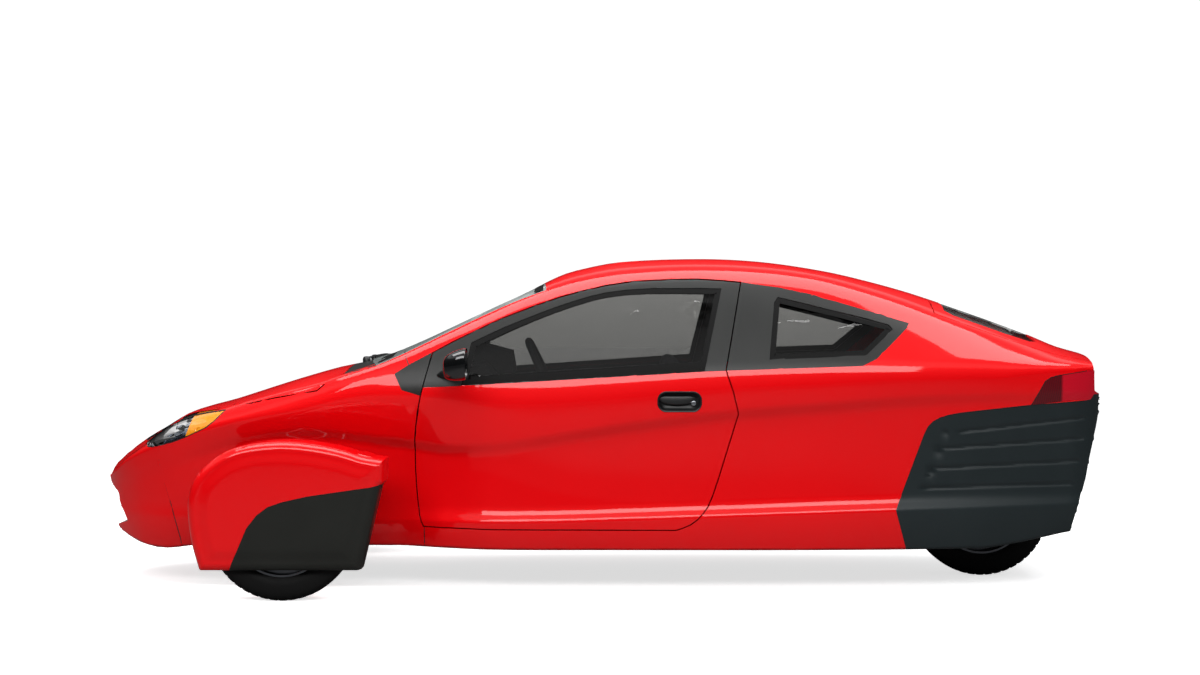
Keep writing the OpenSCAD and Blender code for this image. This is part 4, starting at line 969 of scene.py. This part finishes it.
def wiper(k, foot, tip):
    a, b = np.array(foot, float), np.array(tip, float)
    t = np.linspace(0, 1, 20)
    x, y = a[0] + (b[0] - a[0]) * t, a[1] + (b[1] - a[1]) * t
    z = skin_z(x, y, 16.0 - 4 * t)
    tube(f"wiper_arm_{k}", np.stack([x, y, z], 1) / 1000, [(0.008 - 0.004 * v, 0.004) for v in t],
         "black", "body")
    s = np.linspace(0.35, 1.25, 26)
    x, y = a[0] + (b[0] - a[0]) * s - 6, a[1] + (b[1] - a[1]) * s
    z = skin_z(x, y, 7.0)
    tube(f"wiper_blade_{k}", np.stack([x, y, z], 1) / 1000, [(0.0035, 0.006)] * 26, "black", "body",
         10)
    z0 = float(skin_z(a[0], a[1], 0.0))
    turn = np.linspace(0, 2 * np.pi, 28, endpoint=False)
    rows = [np.stack([a[0] + r * np.cos(turn), a[1] + r * np.sin(turn), np.full(28, z0 + h)], 1) / 1000
            for r, h in ((17, -4), (17, 12), (14, 20), (8, 23), (0.2, 23.5))]
    grid_mesh(f"wiper_pivot_{k}", np.array(rows), "black", "body", True)


wiper(0, (950, 150), (908, -250))
wiper(1, (955, -190), (900, -420))


def steering_wheel():
    """A thick rim with three spokes and a padded hub, turned to the column."""
    tilt = Matrix.Rotation(math.radians(115), 3, "Y")
    hub = Vector((0.205, 0, 0.842))
    bm = bmesh.new()
    rim_radius, grip_radius, steps = 0.165, 0.01624, 72
    rows = []
    for i in range(steps):
        a = 2 * math.pi * i / steps
        reach = [(rim_radius + grip_radius * math.cos(t), grip_radius * math.sin(t))
                 for t in np.linspace(0, 2 * math.pi, 14, endpoint=False)]
        rows.append([bm.verts.new(hub + tilt @ Vector((r * math.cos(a), r * math.sin(a), z)))
                     for r, z in reach])
    for i in range(steps):
        r, q = rows[i], rows[(i + 1) % steps]
        for j in range(len(r)):
            k = (j + 1) % len(r)
            bm.faces.new((r[j], r[k], q[k], q[j]))
    for a in (math.pi, math.pi + 2.15, math.pi - 2.15):
        d, s = Vector((math.cos(a), math.sin(a), 0)), Vector((-math.sin(a), math.cos(a), 0))
        rows = []
        for t in np.linspace(0, 1, 9):
            w, h = 0.024 - 0.010 * math.sin(t * math.pi), 0.0055
            c = d * (0.030 + 0.130 * t) + Vector((0, 0, 0.012 - 0.012 * t))
            rows.append([bm.verts.new(hub + tilt @ (c + s * w * math.cos(q)
                                                    + Vector((0, 0, h * math.sin(q)))))
                         for q in np.linspace(0, 2 * math.pi, 12, endpoint=False)])
        for r, q in zip(rows[:-1], rows[1:]):
            for j in range(12):
                bm.faces.new((r[j], r[(j + 1) % 12], q[(j + 1) % 12], q[j]))
        bm.faces.new(rows[0])
        bm.faces.new(rows[-1])
    profile = [(0.0005, -0.006), (0.030, -0.005), (0.044, 0.002), (0.050, 0.012), (0.046, 0.024),
               (0.026, 0.030), (0.011, 0.030), (0.0102, 0.138), (0.0005, 0.139)]
    rows = [[bm.verts.new(hub + tilt @ Vector((r * math.cos(a), r * math.sin(a), z)))
             for a in np.linspace(0, 2 * math.pi, 40, endpoint=False)] for r, z in profile]
    for r, q in zip(rows[:-1], rows[1:]):
        for j in range(40):
            bm.faces.new((r[j], r[(j + 1) % 40], q[(j + 1) % 40], q[j]))
    bmesh.ops.recalc_face_normals(bm, faces=bm.faces)
    piece = to_mesh("wheel_grip", bm, "inside", "steering_wheel")
    piece.data.shade_smooth()
    sharp_by_angle(piece.data, 50)
    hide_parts("steering_wheel")


steering_wheel()
print("wipers and steering wheel made")

# %% [markdown]
# ## Seats
# Each seat is a set of stuffed pads: cushion, back, two bolsters, two wings and a headrest. A pad starts
# as a rounded block, is remeshed and is then blown up a little as cloth.

# %%
def block(name, centre, size, lean, round_by):
    """A rounded block as the starting shape of a pad, leaning back by an angle in degrees."""
    bm = bmesh.new()
    bmesh.ops.create_cube(bm, size=1.0)
    bmesh.ops.scale(bm, vec=size, verts=bm.verts)
    bmesh.ops.subdivide_edges(bm, edges=bm.edges[:], cuts=3, use_grid_fill=True)
    bmesh.ops.bevel(bm, geom=[e for e in bm.edges if e.calc_face_angle(0) > 1], offset=round_by,
                    offset_type="OFFSET", segments=3, profile=0.5, affect="EDGES", material=-1)
    turn = Matrix.Rotation(math.radians(lean), 3, "Y")
    bmesh.ops.transform(bm, matrix=turn.to_4x4(), verts=bm.verts)
    bmesh.ops.translate(bm, vec=centre, verts=bm.verts)
    return bm


def blow_up(obj, voxel, cap):
    """Remeshes the pad and lets it swell as cloth, then keeps the result."""
    start = None
    bpy.ops.object.select_all(action="DESELECT")
    bpy.context.view_layer.objects.active = obj
    obj.select_set(True)
    obj.data.remesh_voxel_size = voxel
    bpy.ops.object.voxel_remesh()
    start = np.array([v.co for v in obj.data.vertices])
    cloth = obj.modifiers.new("cloth", "CLOTH")
    cloth.settings.use_pressure = True
    cloth.settings.uniform_pressure_force = 4.0
    cloth.settings.effector_weights.gravity = 0.0
    cloth.settings.quality = 4
    for frame_number in range(1, 16):
        scene.frame_set(frame_number)
    swollen = np.array([v.co for v in obj.evaluated_get(bpy.context.evaluated_depsgraph_get())
                        .data.vertices])
    obj.modifiers.remove(cloth)
    scene.frame_set(1)
    move = swollen - start
    length = np.linalg.norm(move, axis=1)
    move *= np.minimum(1, cap / np.maximum(length, 1e-9))[:, None]
    for v, co in zip(obj.data.vertices, start + move):
        v.co = co
    smooth = obj.modifiers.new("smooth", "SUBSURF")
    smooth.levels = smooth.render_levels = 1 if start is not None else 2
    obj.data.shade_smooth()


def pad(name, centre, size, lean, round_by=0.02, voxel=0.012, cap=0.012):
    bm = block(name, centre, size, lean, round_by)
    obj = to_mesh(name, bm, "cloth", "body")
    blow_up(obj, voxel, cap)
    return obj


scene = bpy.context.scene
for who, x in (("driver", -0.04), ("passenger", -0.88)):
    node_name = f"{who}_seat"
    base = 0.2745
    cushion = pad(f"{who}_cushion", (x + 0.085, 0, base + 0.058), (0.40, 0.26, 0.080), -5)
    for side, word in ((1, "left"), (-1, "right")):
        pad(f"{who}_bolster_{word}", (x + 0.085, side * 0.185, base + 0.064),
            (0.38, 0.085, 0.095), -5, 0.025)
        pad(f"{who}_wing_{word}", (x - 0.175, side * 0.180, base + 0.330),
            (0.100, 0.085, 0.44), -22, 0.025)
    pad(f"{who}_back", (x - 0.188, 0, base + 0.325), (0.085, 0.25, 0.48), -22)
    pad(f"{who}_headrest", (x - 0.278, 0, base + 0.600), (0.075, 0.22, 0.12), -14, 0.03)
    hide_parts(node_name)
print("seats stuffed")

# %% [markdown]
# ## Light, floor and camera
# The car stands on a white floor under large soft lights. The sky seen by the camera is plain white,
# while reflections see a soft horizon, so that the paint keeps its depth.

# %%
scene = bpy.context.scene
scene.view_settings.view_transform = "Standard"


def floor():
    mesh = bpy.data.meshes.new("floor")
    s = 40.0
    mesh.from_pydata([(-s, -s, 0), (s, -s, 0), (s, s, 0), (-s, s, 0)], [], [(0, 1, 2, 3)])
    obj = bpy.data.objects.new("floor", mesh)
    scene.collection.objects.link(obj)
    g = Graph("studio_floor")
    seen = g.add("ShaderNodeLightPath", out="Is Camera Ray")
    glow = g.mix(seen, (0, 0, 0, 1), (1, 1, 1, 1))
    plain = g.mix(g.noise(0.2), (0.93, 0.93, 0.93, 1), (0.95, 0.95, 0.95, 1))
    white = g.principled(Base_Color=g.mix(seen, (0.2, 0.2, 0.2, 1), plain),
                         Roughness=0.9, Specular_IOR_Level=0.0, Emission_Color=glow,
                         Emission_Strength=0.68)
    obj.data.materials.append(g.surface(white))


def sky():
    world = bpy.data.worlds.new("studio")
    scene.world = world
    world.use_nodes = True
    tree = world.node_tree
    tree.nodes.clear()

    def new(kind, **settings):
        node = tree.nodes.new(kind)
        for k, v in settings.items():
            setattr(node, k, v)
        return node

    link = tree.links.new
    out, path = new("ShaderNodeOutputWorld"), new("ShaderNodeLightPath")
    coords, split = new("ShaderNodeTexCoord"), new("ShaderNodeSeparateXYZ")
    link(coords.outputs["Generated"], split.inputs[0])
    ramp = new("ShaderNodeValToRGB")
    link(split.outputs["Z"], ramp.inputs[0])
    stops = [(0.0, 0.0), (0.30, 0.03), (0.48, 0.12), (0.58, 0.75), (0.68, 0.75), (0.80, 0.28),
             (1.0, 0.38)]
    ramp.color_ramp.elements[0].color = (stops[0][1],) * 3 + (1,)
    ramp.color_ramp.elements[1].color = (stops[-1][1],) * 3 + (1,)
    for at, v in stops[1:-1]:
        ramp.color_ramp.elements.new(at).color = (v, v, v, 1)
    studio, plain, white = (new("ShaderNodeBackground") for _ in range(3))
    link(ramp.outputs[0], studio.inputs["Color"])
    plain.inputs["Color"].default_value = (0.9, 0.9, 0.92, 1)
    plain.inputs["Strength"].default_value = 0.42
    white.inputs["Color"].default_value = (1, 1, 1, 1)
    white.inputs["Strength"].default_value = 1.05
    first, second = new("ShaderNodeMixShader"), new("ShaderNodeMixShader")
    link(path.outputs["Is Glossy Ray"], first.inputs[0])
    link(plain.outputs[0], first.inputs[1])
    link(studio.outputs[0], first.inputs[2])
    link(path.outputs["Is Camera Ray"], second.inputs[0])
    link(first.outputs[0], second.inputs[1])
    link(white.outputs[0], second.inputs[2])
    link(second.outputs[0], out.inputs["Surface"])


def softbox(name, place, aim, size, power):
    light = bpy.data.lights.new(name, "AREA")
    light.shape = "RECTANGLE"
    light.size, light.size_y = size
    light.energy = power
    obj = bpy.data.objects.new(name, light)
    scene.collection.objects.link(obj)
    obj.location = place
    obj.rotation_euler = (Vector(aim) - Vector(place)).to_track_quat("-Z", "Y").to_euler()


def camera():
    data = bpy.data.cameras.new("camera")
    data.lens = 58.9
    data.shift_x, data.shift_y = -0.0042, -0.031
    obj = bpy.data.objects.new("camera", data)
    scene.collection.objects.link(obj)
    obj.location = (-0.051, 8.4, 1.167)
    obj.rotation_euler = (math.radians(90), 0, math.radians(180))
    scene.camera = obj


floor()
sky()
softbox("top", (0, 0.6, 4.6), (0, 0, 0), (7.0, 2.6), 300)
softbox("side", (0.5, 6.5, 4.2), (0, 0, 0.5), (8.0, 2.0), 330)
camera()
print("stage set")
